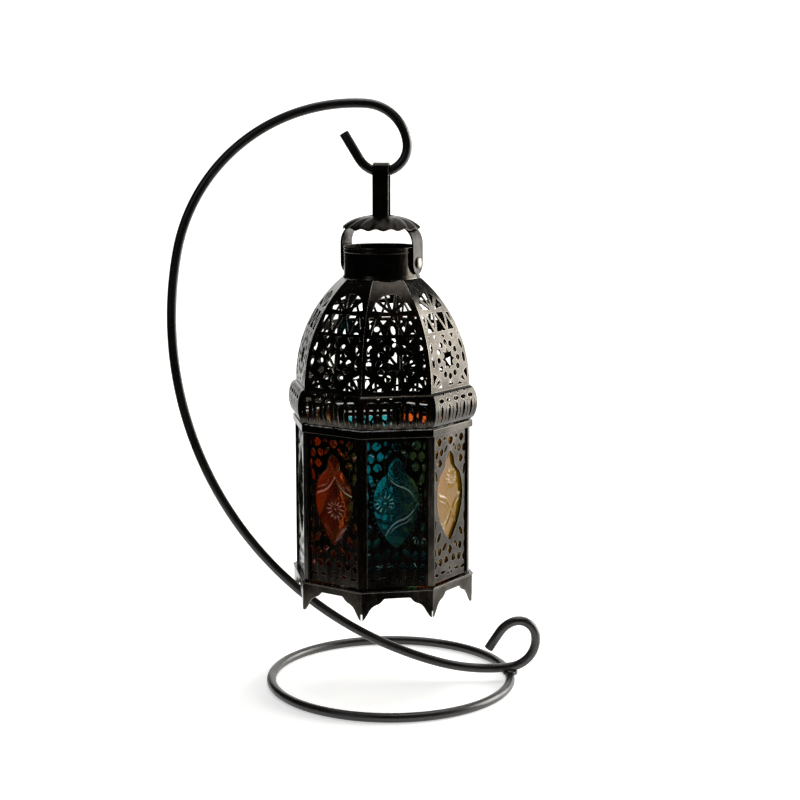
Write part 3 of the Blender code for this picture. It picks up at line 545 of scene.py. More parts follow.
def upright(apothem, half):
    """A flat vertical side."""
    def profile(level):
        return apothem, level, 1.0, 0.0, half
    return profile

# %% [markdown]
# ## Hanging loop
#
# A link of flat strip hangs over the hook.  It is round over the wire and
# square where it passes under the strap, and it is turned a little to the left.

# %% Cut the hanging loop
LOOP_WIDTH = 8.4 * MM
LOOP_INNER_HALF = 3.3 * MM
LOOP_SHEET = 1.0 * MM
LOOP_CORNER = 0.8 * MM  # inside radius of the two lower corners
LOOP_LOW_Z = 248.5 * MM
LOOP_ROUND_Z = 277.0 * MM  # middle of the round end
LOOP_TURN = math.radians(90.0 - 8.0)

link = bmesh.new()
for grow in (LOOP_SHEET, 0.0):
    half = LOOP_INNER_HALF + grow
    corner = LOOP_CORNER + grow
    floor = LOOP_LOW_Z - grow
    corners = arc((0.0, LOOP_ROUND_Z), half, 0.0, 180.0, 24)
    corners += arc((-half + corner, floor + corner), corner, 180.0, 90.0, 5)
    corners += arc((half - corner, floor + corner), corner, 270.0, 90.0, 5)
    close_outline(link, corners)
cut_sheet(link, LOOP_WIDTH)
bmesh.ops.translate(link, verts=link.verts[:], vec=(0.0, -LOOP_WIDTH / 2.0, 0.0))
place_tin("hanging_loop", "_strip", link, LOOP_TURN, "loop", round_edge=0.22 * MM, sharp=50.0)

# %% [markdown]
# ## Bail strap
#
# The strap is a flat strip with round ends, necked in where the loop goes
# round it, and bent over a round former at each shoulder.  It is cut flat and
# then wrapped: distance along the strip becomes a crown, a quarter turn and a
# leg.

# %% Follow the bail strap
BAIL_SHEET = 1.0 * MM
BAIL_HALF_WIDTH = 6.0 * MM
BAIL_REACH = 20.7 * MM
BAIL_BEND = 10.0 * MM
NECK_HALF = 1.5 * MM
NECK_LENGTH = 6.2 * MM
RIVET_HOLE = 3.2 * MM


def along_bail(run):
    """Where a distance from the middle of the crown lands: across, level, and facing."""
    side = math.copysign(1.0, run)
    length = abs(run)
    flat = BAIL_REACH - BAIL_BEND
    quarter = BAIL_BEND * math.pi / 2.0
    if length <= flat:
        return side * length, CROWN_Z, 0.0, 1.0
    if length <= flat + quarter:
        turn = (length - flat) / BAIL_BEND
        return (side * (flat + BAIL_BEND * math.sin(turn)),
                CROWN_Z - BAIL_BEND + BAIL_BEND * math.cos(turn),
                side * math.sin(turn), math.cos(turn))
    return side * BAIL_REACH, CROWN_Z - BAIL_BEND - (length - flat - quarter), side, 0.0


print("the strap's legs hang", round(2.0 * BAIL_REACH / MM, 1), "mm apart")

# %% Cut and wrap the bail strap
leg_end = BAIL_REACH - BAIL_BEND + BAIL_BEND * math.pi / 2.0 + CROWN_Z - BAIL_BEND - RIVET_Z
strap = bmesh.new()
corners = arc((0.0, leg_end), BAIL_HALF_WIDTH, 0.0, 180.0, 24)
corners += [(-BAIL_HALF_WIDTH, NECK_LENGTH), (-NECK_HALF, NECK_LENGTH),
            (-NECK_HALF, -NECK_LENGTH), (-BAIL_HALF_WIDTH, -NECK_LENGTH)]
corners += arc((0.0, -leg_end), BAIL_HALF_WIDTH, 180.0, 180.0, 24)
corners += [(BAIL_HALF_WIDTH, -NECK_LENGTH), (NECK_HALF, -NECK_LENGTH),
            (NECK_HALF, NECK_LENGTH), (BAIL_HALF_WIDTH, NECK_LENGTH)]
close_outline(strap, corners)
for end in (-leg_end, leg_end):
    pierce(strap, 0.0, end, RIVET_HOLE, RIVET_HOLE, steps=20)
bend_start = BAIL_REACH - BAIL_BEND
cuts = [side * (bend_start + BAIL_BEND * math.radians(7.5 * index))
        for side in (-1.0, 1.0) for index in range(13)]
cut_sheet(strap, BAIL_SHEET, cuts)
for vert in strap.verts:
    depth = vert.co.y - BAIL_SHEET / 2.0
    out, level, face_out, face_up = along_bail(vert.co.z)
    vert.co = (vert.co.x, -(out - depth * face_out), level - depth * face_up)
place_tin("bail_strap", "_strip", strap, BAIL_ANGLE, "bail", round_edge=0.18 * MM, sharp=50.0)

# %% [markdown]
# ## Heat cap
#
# A pressed disc over the crown keeps the heat off the hand.  It is spun as a
# shallow dome with a turned lip, and sixteen flutes are then pressed into its
# outer half, each with a slight swirl, deepest at the rim.

# %% Spin and flute the heat cap
CAP_RADIUS = 20.1 * MM
CAP_HOLE = 6.6 * MM
CAP_RISE = 6.0 * MM
CAP_RIM_Z = 248.0 * MM
CAP_SHEET = 0.7 * MM
FLUTES = 16
FLUTE_DEPTH = 0.5 * MM
FLUTE_SWIRL = 2.2  # radians, from the start of a flute to the rim
PLAIN_SHARE = 0.52  # of the radius, from the middle, has no flutes

cap_line = []
for index in range(15):
    radius = CAP_HOLE + (CAP_RADIUS - CAP_HOLE) * index / 14.0
    cap_line.append((radius, CAP_RIM_Z + CAP_RISE * (1.0 - (radius / CAP_RADIUS) ** 3)))
under = [(radius, level - CAP_SHEET) for radius, level in cap_line]
lip = [(CAP_RADIUS + 0.25 * MM, CAP_RIM_Z - 0.35 * MM)]
cap = spin_outline(cap_line + lip + list(reversed(under)), FLUTES * 14)
for vert in cap.verts:
    radius = math.hypot(vert.co.x, vert.co.y)
    share = max(0.0, (radius / CAP_RADIUS - PLAIN_SHARE) / (1.0 - PLAIN_SHARE))
    wave = math.cos(FLUTES * math.atan2(vert.co.y, vert.co.x) + FLUTE_SWIRL * share)
    vert.co.z += FLUTE_DEPTH * share * (wave - 0.2)
    vert.co.xy *= 1.0 + 0.01 * share * wave
put_round_lantern(cap)
# The cap uses the darker copy of the tin, whose darker colours are painted shade.
finish_piece("heat_cap_pressing", cap, shade_painted_tin, "bail", ["heat_cap"], "dark_tin", sharp=70.0)

# %% [markdown]
# ## Collar and rivets
#
# The chimney collar is a short tube with a rolled rim, a swaged line under it
# and a foot that flares over the dome.  Two headed rivets join it to the strap.

# %% Spin the collar
# Radius and height in mm, from the foot up the outside and back down the inside.
collar_wall = [(19.0, 221.7), (20.5, 221.7), (20.4, 222.3), (19.9, 223.0), (19.8, 223.8),
               (19.8, 234.9), (20.05, 235.2), (20.1, 235.6), (20.05, 236.0), (19.8, 236.3),
               (19.8, 236.8), (20.1, 237.1), (20.15, 237.5), (19.95, 237.9), (19.5, 238.0),
               (19.0, 237.7)]
tube = spin_outline(in_mm(collar_wall), 112)
place_tin("collar", "_tube", tube, sharp=35.0)

# %% Spin the rivets
RIVET_HEAD = 3.0 * MM
RIVET_SEAT = 21.5 * MM  # where the head rests on the strap

rivet_line = [(0.0, RIVET_SEAT + 1.3 * MM)]
rivet_line += [(RIVET_HEAD * math.sin(math.radians(12.0 * index)),
                RIVET_SEAT + 0.2 * MM + 1.1 * MM * math.cos(math.radians(12.0 * index)))
               for index in range(1, 8)]
rivet_line += [(RIVET_HEAD, RIVET_SEAT), (1.3 * MM, RIVET_SEAT)]
rivet_line += in_mm([(1.3, 18.7), (2.4, 18.7), (2.2, 18.0), (0.0, 17.9)])
for name, turn in (("bail_rivet_front", 0.0), ("bail_rivet_rear", math.pi)):
    rivet = spin_outline(rivet_line, 32)
    bmesh.ops.rotate(rivet, verts=rivet.verts[:], cent=(0.0, 0.0, 0.0),
                     matrix=Matrix.Rotation(math.pi / 2.0, 3, "X"))
    bmesh.ops.translate(rivet, verts=rivet.verts[:], vec=(0.0, 0.0, RIVET_Z))
    put_round_lantern(rivet, BAIL_ANGLE + turn)
    finish_piece(name + "_pin", rivet, rivet_steel, "lantern", [name], "rivet_steel")

# %% [markdown]
# ## Dome gores
#
# The dome is eight pierced gores with plain edges.  From the top each has a
# fan, a lattice of tall triangles, a row of small ones, a star inside a ring of
# ovals and a fan of triangles in each lower corner.  The pattern is drawn on a
# straight-sided blank and narrows with the gore as it is bent to the curve.

# %% Curve of the dome
DOME_Z = 166.0 * MM
DOME_RADIUS = 72.0 * MM  # of the corner line
DOME_CENTRE = -24.7 * MM  # its centre lies beyond the axis
DOME_ARC = 63.0  # mm along the corner line
DRAWN_HALF = 17.6 * MM  # half width of the blank as drawn
DOME_BENDS = 26
DOME_FOOT = -0.25 * MM  # lower edge of the blank
MITRE_GAP = 0.06 * MM  # left free at each side of a gore


def dome_profile(run):
    angle = run / DOME_RADIUS
    corner = DOME_CENTRE + DOME_RADIUS * math.cos(angle)
    apothem = corner * math.cos(STEP / 2.0)
    level = DOME_Z + DOME_RADIUS * math.sin(angle)
    return apothem, level, math.cos(angle), math.sin(angle), apothem * MITRE - MITRE_GAP


print("the dome ends", round(dome_profile(DOME_ARC * MM)[0] / MM, 1), "mm from the axis")

# %% Pattern of a gore
# Each hole: across, up, width, height in mm, then any turn, lobes, pinch and taper.
DOME_MIDDLE = ((0.0, 15.6, 11.8, 12.2, 0.0, 8, 0.45), (0.0, 2.9, 4.6, 2.4, 0.0, 3, 0.2, 0.3))
DOME_PAIRS = ((14.3, 15.2, 2.8, 6.0), (14.2, 22.4, 2.6, 5.6, 10.0))

# Cells of the lattice as corners (across, up) in mm, cut back to leave the ribs.
DOME_RIB = 1.25  # mm
DOME_CELLS = (((0.0, 42.8), (4.6, 54.6), (-4.6, 54.6)), ((0.0, 42.4), (12.0, 51.4), (5.2, 54.8)),
              ((0.0, 42.0), (15.6, 43.6), (12.6, 50.8)),
              ((0.0, 42.0), (-5.8, 29.8), (5.8, 29.8)), ((0.4, 41.8), (6.0, 30.2), (10.8, 41.8)),
              ((11.0, 41.6), (6.2, 29.8), (14.6, 29.8)), ((11.4, 41.8), (14.8, 30.4), (16.6, 41.8)),
              ((-4.4, 29.4), (4.4, 29.4), (0.0, 25.4)), ((5.0, 29.4), (12.4, 29.4), (8.2, 24.8)),
              ((12.8, 29.6), (16.6, 29.8), (16.2, 25.0)),
              ((16.4, 1.0), (16.6, 11.2), (10.8, 8.4)), ((16.0, 0.8), (10.6, 8.0), (7.2, 4.6)),
              ((15.4, 0.8), (7.0, 4.4), (3.6, 0.8)))
print("half a gore has", len(DOME_CELLS), "lattice cells")

# %% Pierce the pattern
def pierce_cell(bm, corners, rib):
    """One straight-sided hole, its corners drawn in so that half a rib is left on each side."""
    across = sum(corner[0] for corner in corners) / len(corners)
    up = sum(corner[1] for corner in corners) / len(corners)
    reach = []
    for here, after in zip(corners, corners[1:] + corners[:1]):
        span = math.dist(here, after)
        reach.append(abs((after[0] - here[0]) * (up - here[1])
                         - (after[1] - here[1]) * (across - here[0])) / span)
    kept = 1.0 - rib / 2.0 / min(reach)
    close_outline(bm, in_mm([(across + (x - across) * kept, up + (z - up) * kept)
                             for x, z in corners]))


def draw_holes(bm, middle, pairs):
    """Pierce the holes on the centre line and both of each pair."""
    rows = [(row, 1.0) for row in middle]
    rows += [(row, side) for row in pairs for side in (-1.0, 1.0)]
    for (across, up, width, height, *shape), side in rows:
        turn, lobes, pinch, taper = shape + [0.0, 0, 0.0, 0.0][len(shape):]
        pierce(bm, side * across * MM, up * MM, width * MM, height * MM, side * turn, lobes,
               pinch, taper, 24 if lobes > 4 else 14)


def draw_ring(bm, up, radius, count, width, height):
    """Pierce a ring of ovals, sizes in mm."""
    for index in range(count):
        angle = 360.0 / count * index
        way = math.radians(angle)
        pierce(bm, radius * MM * math.sin(way), up * MM + radius * MM * math.cos(way),
               width * MM, height * MM, -angle)

# %% Cut and bend the dome gores
def cut_dome_gore():
    bm = bmesh.new()
    blank(bm, DRAWN_HALF, DOME_FOOT, DOME_ARC * MM)
    draw_holes(bm, DOME_MIDDLE, DOME_PAIRS)
    draw_ring(bm, up=15.6, radius=8.9, count=12, width=3.3, height=3.5)
    for corners in DOME_CELLS:
        pierce_cell(bm, corners, DOME_RIB)
        if sum(corner[0] for corner in corners):
            pierce_cell(bm, tuple((-x, z) for x, z in corners), DOME_RIB)
    cut_sheet(bm, SHEET, [DOME_ARC * MM * index / DOME_BENDS for index in range(1, DOME_BENDS)])
    bend_sheet(bm, dome_profile, DRAWN_HALF, mitred=True)
    return bm


for index in range(FACES):
    place_tin("dome_panel_%d" % (index + 1), "_gore", cut_dome_gore(), FIRST_FACE + STEP * index)

# %% [markdown]
# ## Gallery band
#
# Under the dome a bulging band runs round the lantern.  One side is pierced
# with dots, tee-headed slots and narrow slits, swelled to half an ellipse and
# repeated eight times; the mitred ends are left out so the copies join.

# %% Swell of the gallery
GALLERY_Z = 147.5 * MM
GALLERY_HEIGHT = 18.2 * MM
GALLERY_APOTHEM = 43.4 * MM
GALLERY_BULGE = 4.2 * MM
GALLERY_DRAWN = 18.9 * MM  # half width of the blank as drawn
GALLERY_PITCH = 6.6  # from slot to slot, in mm
GALLERY_BENDS = 14


def gallery_profile(run):
    angle = math.pi * run / GALLERY_HEIGHT
    radius = GALLERY_APOTHEM + GALLERY_BULGE * math.sin(angle)
    level = GALLERY_Z + GALLERY_HEIGHT / 2.0 * (1.0 - math.cos(angle))
    out = Vector((GALLERY_HEIGHT / 2.0 * math.sin(angle), -GALLERY_BULGE * math.cos(angle)))
    out.normalize()
    return radius, level, out.x, out.y, radius * MITRE


print("the gallery swells to", round(gallery_profile(GALLERY_HEIGHT / 2.0)[0] / MM, 1), "mm")


def repeat_round(bm):
    """Drop the two mitred ends of a side and join eight copies of it into a band."""
    ends = []
    for face in bm.faces:
        for side in (-1.0, 1.0):
            offsets = [vert.co.x * side + vert.co.y * MITRE for vert in face.verts]
            if max(abs(offset) for offset in offsets) < 0.01 * MM:
                ends.append(face)
    bmesh.ops.delete(bm, geom=ends, context="FACES")
    bmesh.ops.spin(bm, geom=bm.verts[:] + bm.edges[:] + bm.faces[:], cent=(0.0, 0.0, 0.0),
                   axis=(0.0, 0.0, 1.0), angle=STEP * (FACES - 1), steps=FACES - 1,
                   use_duplicate=True)
    bmesh.ops.remove_doubles(bm, verts=bm.verts[:], dist=0.02 * MM)

# %% Pierce and swell the gallery band
gallery = bmesh.new()
blank(gallery, GALLERY_DRAWN, 0.0, GALLERY_HEIGHT)
for index in range(-2, 3):
    across = index * GALLERY_PITCH * MM
    pierce(gallery, across, 2.3 * MM, 3.6 * MM, 1.1 * MM)
    pierce(gallery, across, 12.4 * MM, 5.2 * MM, 1.8 * MM, pinch=0.1, lobes=2)
    pierce(gallery, across, 7.6 * MM, 2.3 * MM, 7.0 * MM, taper=-0.4)
for index in range(-3, 3):
    pierce(gallery, (index + 0.5) * GALLERY_PITCH * MM, 8.0 * MM, 1.0 * MM, 7.4 * MM)
for index in range(-2, 2):
    pierce(gallery, (index + 0.5) * GALLERY_PITCH * MM, 15.2 * MM, 1.8 * MM, 1.7 * MM)
cut_sheet(gallery, SHEET,
          [GALLERY_HEIGHT * index / GALLERY_BENDS for index in range(1, GALLERY_BENDS)])
bend_sheet(gallery, gallery_profile, GALLERY_DRAWN, mitred=True)
repeat_round(gallery)
place_tin("gallery_band", "_pressing", gallery, FIRST_FACE)

# %% [markdown]
# ## Rail, floor and corner posts
#
# A flat eight-sided rail caps the walls and a flat floor closes them below;
# each has an edge that stands out a little as a thin bright line.  The posts
# are narrow strips folded over the corners.

# %% Stand up the rail and the floor
RAIL_OUT, RAIL_IN = 45.4 * MM, 39.2 * MM
RAIL_LOW, RAIL_HIGH = 143.5 * MM, 147.2 * MM
FLOOR_OUT = 46.1 * MM
FLOOR_LOW, FLOOR_HIGH = 63.1 * MM, 64.0 * MM


def octagon(apothem):
    """Corners of an octagon whose first side faces -Y."""
    corner = apothem / math.cos(STEP / 2.0)
    return [(corner * math.sin(STEP * (index + 0.5)), -corner * math.cos(STEP * (index + 0.5)))
            for index in range(FACES)]


def stand_up(loops, low, high):
    """Extrude flat outlines (across, along) from one level to another."""
    bm = bmesh.new()
    for loop in loops:
        close_outline(bm, loop)
    cut_sheet(bm, high - low)
    for vert in bm.verts:
        vert.co = (vert.co.x, vert.co.z, low + vert.co.y)
    return bm


rail = stand_up([octagon(RAIL_OUT), octagon(RAIL_IN)], RAIL_LOW, RAIL_HIGH)
place_tin("top_frame", "_rail", rail, FIRST_FACE, round_edge=0.35 * MM)
floor = stand_up([octagon(FLOOR_OUT)], FLOOR_LOW, FLOOR_HIGH)
place_tin("base_tray", "_plate", floor, FIRST_FACE, round_edge=0.2 * MM)

# %% Fold the corner posts
POST_DISTANCE = 47.4 * MM
POST_HALF = 1.9 * MM
POST_WING = 1.0 * MM
POST_SHEET = 0.7 * MM
POST_LOW, POST_HIGH = 64.3 * MM, 143.2 * MM

lean = STEP / 2.0
tip = (POST_HALF + POST_WING * math.cos(lean), -POST_DISTANCE + POST_WING * math.sin(lean))
fold = (POST_HALF - POST_SHEET * math.tan(lean / 2.0), -POST_DISTANCE + POST_SHEET)
back = (tip[0] - POST_SHEET * math.sin(lean), tip[1] + POST_SHEET * math.cos(lean))
right = [fold, back, tip, (POST_HALF, -POST_DISTANCE)]
for index in range(FACES):
    post = stand_up([right + mirrored(right)], POST_LOW, POST_HIGH)
    place_tin("corner_post_%d" % (index + 1), "_fold", post, FIRST_FACE + STEP * (index - 0.5),
              round_edge=0.18 * MM, sharp=15.0)

# %% [markdown]
# ## Filigree sheets
#
# Each wall is a pierced sheet with a tall ogee window: a pointed foot, a full
# belly and a necked, pointed top, with a line of punched beads round it.  The
# corners are filled with open leaf-work, and a trefoil and slots run along the
# foot.  The door's sheet is the same pattern on a narrower blank.

# %% Pattern of the walls
PANEL_HALF = 16.3 * MM
WINDOW_LOW, WINDOW_HIGH, WINDOW_HALF = 85.2, 133.7, 12.0

PANEL_MIDDLE = ((0.0, 139.0, 5.6, 4.8, 180.0, 3, 0.20), (0.0, 80.6, 4.6, 5.6, 0.0, 4, 0.25),
                (0.0, 70.6, 1.6, 1.8))
PANEL_PAIRS = ((5.4, 140.6, 3.0, 2.4, 0.0, 3, 0.20), (10.4, 139.2, 5.0, 4.8, 0.0, 4, 0.15),
               (14.5, 139.2, 1.4, 4.4), (4.2, 135.0, 2.0, 5.2, 40.0),
               (8.4, 133.8, 3.8, 4.6, 0.0, 4, 0.12), (13.1, 133.2, 3.8, 5.2, 0.0, 4, 0.12),
               (9.9, 128.0, 4.6, 4.6, 0.0, 4, 0.10), (14.4, 127.4, 2.0, 4.6),
               (13.2, 121.6, 2.4, 6.4, -14.0), (14.9, 113.6, 0.9, 4.2), (14.9, 104.6, 0.9, 4.2),
               (14.0, 95.6, 2.2, 6.2, 8.0, 0, 0.0, -0.2), (10.4, 88.8, 2.8, 6.0, 32.0),
               (14.4, 88.0, 2.2, 5.6), (5.2, 82.8, 2.6, 5.4, 44.0),
               (9.8, 81.2, 3.8, 4.8, 0.0, 4, 0.12), (14.2, 81.0, 2.4, 5.0),
               (3.4, 75.6, 4.4, 4.4, 0.0, 3, 0.20), (8.9, 75.2, 4.2, 4.6, 180.0, 3, 0.15),
               (13.7, 74.4, 3.2, 4.8, 0.0, 4, 0.12), (1.5, 68.2, 1.6, 1.6),
               (6.6, 69.4, 4.6, 1.7), (12.6, 69.0, 4.4, 1.9, 12.0))

BEAD = 0.9  # the punched line round the window, in mm
BEAD_OUT = 1.1
BEAD_PITCH = 2.4
BEADS_LOW, BEADS_HIGH = 88.5, 121.5
print("a wall has", len(PANEL_MIDDLE) + 2 * len(PANEL_PAIRS), "holes, a window and beads")

# %% Shape of the window
def window_half(share):
    """Half width of the ogee window, from 0 at its foot to 1 at its tip."""
    belly = math.sin(math.pi * share) ** 0.8
    waist = 1.0 - 0.35 * math.exp(-((share - 0.84) / 0.07) ** 2)
    return WINDOW_HALF * belly * waist


def window_outline(steps):
    """The window as corners (across, up) in millimetres, from the foot up the right side."""
    right = [(window_half(index / steps), WINDOW_LOW + (WINDOW_HIGH - WINDOW_LOW) * index / steps)
             for index in range(1, steps)]
    return [(0.0, WINDOW_LOW)] + right + [(0.0, WINDOW_HIGH)] + mirrored(right)


print("the window is", round(2.0 * window_half(0.5), 1), "mm wide half way up")

# %% Pierce the filigree sheets
def cut_filigree(low, high):
    bm = bmesh.new()
    blank(bm, PANEL_HALF, low, high)
    close_outline(bm, in_mm(window_outline(44)))
    right = [corner for corner in window_outline(88) if corner[0] > 0.0]
    keep = [corner for corner in right if BEADS_LOW < corner[1] < BEADS_HIGH]
    for line in (keep, mirrored(keep)):
        walked = 0.0
        for here, after in zip(line, line[1:]):
            span = math.dist(here, after)
            if walked <= 0.0:
                out = ((after[1] - here[1]) / span, -(after[0] - here[0]) / span)
                pierce(bm, (here[0] + out[0] * BEAD_OUT) * MM,
                       (here[1] + out[1] * BEAD_OUT) * MM, BEAD * MM, BEAD * MM, steps=8)
                walked = BEAD_PITCH
            walked -= span
    draw_holes(bm, PANEL_MIDDLE, PANEL_PAIRS)
    cut_sheet(bm, SHEET)
    return bm


DOOR = 4  # counted from the front face; the one at the rear
# Each sheet in mm: foot, top, distance from the axis and half width.
WALL_SHEET = (65.0, 143.2, 43.5, 16.3)
DOOR_SHEET = (65.6, 142.6, 44.2, 14.9)

for index in range(FACES):
    low, high, apothem, half = DOOR_SHEET if index == DOOR else WALL_SHEET
    sheet = cut_filigree(low * MM, high * MM)
    bend_sheet(sheet, upright(apothem * MM, half * MM), PANEL_HALF)
    place_tin("filigree_panel_%d" % (index + 1), "_sheet", sheet, FIRST_FACE + STEP * index,
              "door" if index == DOOR else "lantern")

# %% [markdown]
# ## Glass panes
#
# The mould gives the glass a lattice of raised ogee lines with a daisy of twelve
# long petals in every cell.  The panes are cut from it at random, so the
# daisy sits in a different place on each.  A fine grid is raised by that
# pattern, then its rim is extruded back and closed, which leaves a solid pane
# with a plain rear face.

# %% Pattern of the glass
CELL_HALF = 17.5  # half of a lattice cell in mm, both ways
RELIEF = 0.5
PANE_GRID = 0.42
# Each pane in mm: half width, foot, top, then front and rear from the axis.
WALL_PANE = (16.2, 65.0, 143.2, 42.05, 40.6)
DOOR_PANE = (12.4, 68.1, 140.1, 42.65, 41.3)
FLOWERS = ((-6.1, 109.6), (3.4, 117.6), (9.0, 101.0), (-3.0, 115.0),
           (-6.1, 109.6), (7.5, 96.0), (0.0, 119.0), (0.0, 104.9))  # one daisy on each pane


def bump_at(distance, width):
    return math.exp(-(distance / width) ** 2)


def daisy(across, up):
    """Height, 0 to 1, of a daisy with a boss and twelve long petals."""
    reach = math.hypot(across, up)
    way = math.atan2(up, across)
    petals = bump_at(reach - 3.4, 1.7) * (0.5 + 0.5 * math.cos(12.0 * way))
    return max(0.8 * bump_at(reach, 0.8), petals)


def mould(across, up):
    """Height, 0 to 1, of the pressed pattern at a distance from a daisy, in millimetres."""
    x = abs((across + CELL_HALF) % (2.0 * CELL_HALF) - CELL_HALF)
    z = abs((up + CELL_HALF) % (2.0 * CELL_HALF) - CELL_HALF)
    line = CELL_HALF - x - 1.9 * math.sin(2.0 * math.pi * x / CELL_HALF)
    ridge = bump_at((z - line) * 0.72, 0.6)
    rib = 0.5 * bump_at((z - line) * 0.72 - 1.9, 0.35)
    return max(ridge, rib, daisy(x, z), daisy(CELL_HALF - x, CELL_HALF - z))


print("a cell of the mould is", 2.0 * CELL_HALF, "mm wide")

# %% Press the glass panes
def press_pane(half, low, high, front, rear, flower):
    bm = bmesh.new()
    columns, rows = round(2.0 * half / PANE_GRID), round((high - low) / PANE_GRID)
    bmesh.ops.create_grid(bm, x_segments=columns, y_segments=rows, size=1.0)
    for vert in bm.verts:
        across = vert.co.x * half
        up = (low + high) / 2.0 + vert.co.y * (high - low) / 2.0
        raised = RELIEF * mould(across - flower[0], up - flower[1])
        vert.co = (across * MM, -(front + raised) * MM, up * MM)
    rim = [edge for edge in bm.edges if edge.is_boundary]
    grown = bmesh.ops.extrude_edge_only(bm, edges=rim)["geom"]
    for vert in new_corners(grown):
        vert.co.y = -rear * MM
    bmesh.ops.holes_fill(bm, edges=[edge for edge in bm.edges if edge.is_boundary], sides=0)
    return bm


for index in range(FACES):
    slot, glass = GLASSES[index % len(GLASSES)]
    name = "glass_pane_%d" % (index + 1)
    pane = press_pane(*(DOOR_PANE if index == DOOR else WALL_PANE), FLOWERS[index])
    put_round_lantern(pane, FIRST_FACE + STEP * index)
    finish_piece(name + "_pressing", pane, glass, "door" if index == DOOR else "lantern",
                 [name], slot, sharp=60.0)

# %% [markdown]
# ## Footed skirt
#
# The skirt is one band of tin, cut away under each face so that a pointed,
# split foot is left at every corner.  The cut has a flat top, an ogee shoulder
# and a curved run down to the tip.

# %% Cut and join the skirt
SKIRT_APOTHEM = 45.6 * MM
FOOT_SLIT = 0.5  # half of the split in a foot, in mm

edge = SKIRT_APOTHEM * MITRE / MM
slot_edge = edge - FOOT_SLIT
foot_line = [(6.4, 59.6), (7.2, 59.2), (8.2, 58.0), (9.6, 56.9), (11.6, 56.2), (13.2, 55.2),
             (14.4, 53.8), (15.6, 51.8), (16.6, 50.2), (slot_edge - 0.9, 48.9),
             (slot_edge - 0.1, 48.3), (slot_edge, 48.6), (slot_edge, 51.8), (edge, 51.8),
             (edge, 62.8)]
corners = in_mm(foot_line)
skirt = bmesh.new()
close_outline(skirt, corners + mirrored(corners))
cut_sheet(skirt, SHEET)
bend_sheet(skirt, upright(SKIRT_APOTHEM, edge * MM), edge * MM, mitred=True)
repeat_round(skirt)
place_tin("skirt", "_band", skirt, FIRST_FACE)

# %% [markdown]
# ## Tealight
#
# The cup is drawn aluminium with a rolled lip and a ring pressed in its wall.
# The wax stands a little proud against the cup, as it does when poured, and
# dips round the wick.

# %% Spin the tealight's cup
floor_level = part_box("tealight_cup")[0].z / MM
cup_line = [(19.0, 15.4), (19.0, 6.0), (18.8, 5.6), (18.8, 1.0), (18.3, 0.0), (0.0, 0.0),
            (0.0, 0.4), (18.1, 0.4), (18.4, 1.1), (18.4, 5.5), (18.6, 6.1), (18.6, 15.6),
            (18.8, 16.0), (19.0, 15.9)]
cup = spin_outline(in_mm(cup_line, floor_level), 96)
put_round_lantern(cup)
finish_piece("tealight_cup_drawn", cup, tealight_tin, "candle", ["tealight_cup"], "tealight_tin",
             sharp=45.0)

# %% Fill it with wax
wax_line = [(18.2, 0.8), (18.2, 13.0), (17.4, 12.5), (14.0, 12.3), (7.0, 12.3), (2.5, 12.1),
            (0.9, 12.5), (0.9, 0.8)]
fill = spin_outline(in_mm(wax_line, floor_level), 64)
put_round_lantern(fill)
finish_piece("tealight_wax_fill", fill, paraffin, "candle", ["tealight_wax"], "wax", sharp=50.0)

# %% [markdown]
# ## Finishes on the pieces taken as they are
#
# The door frame, the hinge, the candle ring, the knob and the wick are already
# as fine as they need to be, so the CAD shapes are kept and only painted.

# %% Paint the pieces kept from CAD
KEPT = {"door_frame": dark_tin, "door_hinge_leaf": dark_tin, "hinge_leaf_lower": dark_tin,
        "hinge_leaf_upper": dark_tin, "candle_holder": dark_tin, "hinge_pin": rivet_steel,
        "door_pull": rivet_steel, "tealight_wick": cotton}
for name, material in KEPT.items():
    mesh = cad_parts[name].data
    mesh.materials.clear()
    mesh.materials.append(material)
print("painted", len(KEPT), "CAD pieces")

# %% [markdown]
# ## Sheet, light and camera
#
# The lantern stands on a pale sheet that sweeps up behind it.  The sheet ends
# just in front of the ring and slants in on the left, so the dark tin on those
# sides mirrors a dim room and stays dark.  A large soft light from the right
# and a little behind fills the metal there, and an overhead light keeps the
# sheet even.  The sheet gives a little light itself so that it stays white.

# %% Sweep the pale sheet
SWEEP_LEFT = -0.24  # where the slanting left edge crosses the axis
SWEEP_SLANT = -0.27
SWEEP_RIGHT = 2.2
SWEEP_FRONT = -0.18
SWEEP_BACK = 1.10  # where the floor starts to curve up
SWEEP_CURVE = 0.35
SWEEP_HEIGHT = 1.3

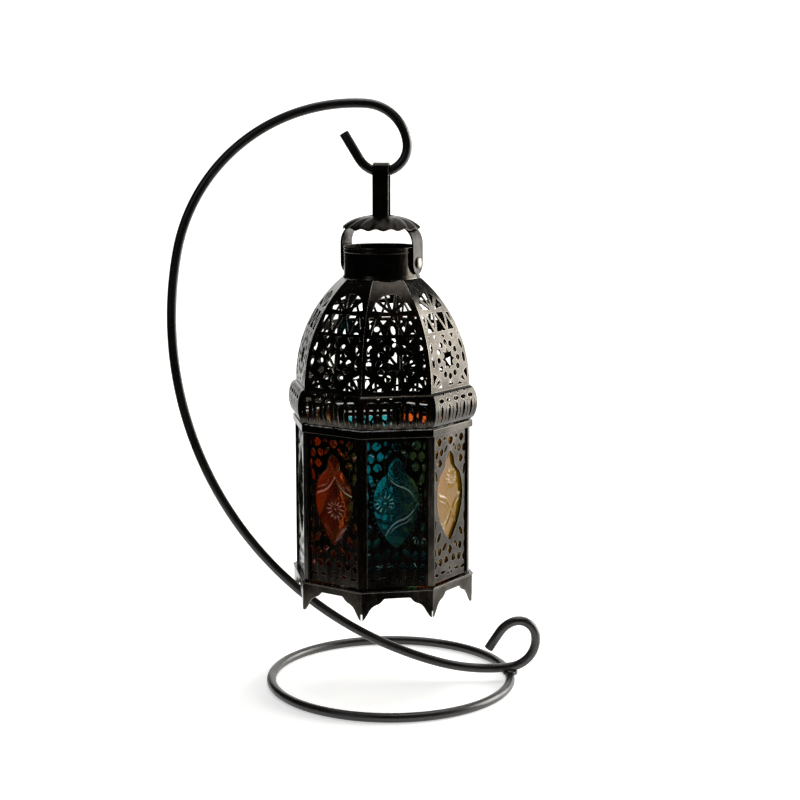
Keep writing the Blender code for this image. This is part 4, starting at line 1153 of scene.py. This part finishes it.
line = [(SWEEP_FRONT, 0.0), (SWEEP_BACK, 0.0)]
line += arc((SWEEP_BACK, SWEEP_CURVE), SWEEP_CURVE, -90.0, 90.0, 12)[1:]
line += [(SWEEP_BACK + SWEEP_CURVE, SWEEP_HEIGHT)]
sweep = bmesh.new()
verts = [sweep.verts.new((SWEEP_LEFT + SWEEP_SLANT * along, along, up)) for along, up in line]
edges = [sweep.edges.new(pair) for pair in zip(verts, verts[1:])]
grown = bmesh.ops.extrude_edge_only(sweep, edges=edges)["geom"]
for vert in new_corners(grown):
    vert.co.x = SWEEP_RIGHT
paper, tree, shader, _ = start_material("matt white paper sweep")
feed(tree, shader, {"Base Color": linear("#f4f4f2"), "Roughness": 0.8,
                    "Emission Color": linear("#ffffff"), "Emission Strength": 0.55})
backdrop = make_solid("pale_sweep", sweep, paper)
print("sheet", round(backdrop.dimensions.y, 2), "m deep")

# %% Hang the softboxes
# Each softbox: place, aim, width and height in metres, then watts and tint.
SOFTBOXES = (("softbox_right", (1.15, 0.35, 0.42), (0.0, 0.0, 0.16), 0.9, 0.9, 22.0, "#fffdf8"),
             ("softbox_top", (0.15, 0.35, 1.6), (0.0, 0.2, 0.0), 1.3, 1.3, 13.0, "#ffffff"),
             ("fill_left", (-0.75, -0.9, 0.75), (0.0, 0.0, 0.15), 0.35, 0.5, 0.8, "#eef3ff"))


def add_softbox(name, place, aim, width, height, power, tint):
    light = bpy.data.lights.new(name, "AREA")
    light.shape = "RECTANGLE"
    light.size, light.size_y = width, height
    light.energy = power
    light.color = linear(tint)[:3]
    lamp = add_object(name, light)
    lamp.location = place
    lamp.rotation_euler = (Vector(aim) - Vector(place)).to_track_quat("-Z", "Y").to_euler()


for softbox in SOFTBOXES:
    add_softbox(*softbox)
world = bpy.data.worlds.new("dim studio")
world.use_nodes = True
feed(world.node_tree, world.node_tree.nodes["Background"],
     {"Color": linear("#8c8c8c"), "Strength": 0.08})
bpy.context.scene.world = world
bpy.context.scene.view_settings.view_transform = "Standard"
print("hung", len(SOFTBOXES), "softboxes")

# %% Aim the camera
CAMERA_PLACE = (0.02349, -0.89498, 0.30578)
CAMERA_TILT = math.radians(80.492)  # a little below level
LENS, SENSOR = 76.66, 36.0  # in mm

camera_data = bpy.data.cameras.new("camera")
camera_data.lens = LENS
camera_data.sensor_width = SENSOR
camera = add_object("camera", camera_data)
camera.location = CAMERA_PLACE
camera.rotation_euler = (CAMERA_TILT, 0.0, 0.0)
bpy.context.scene.camera = camera
print("camera", round(camera.location.length, 2), "m from the origin")
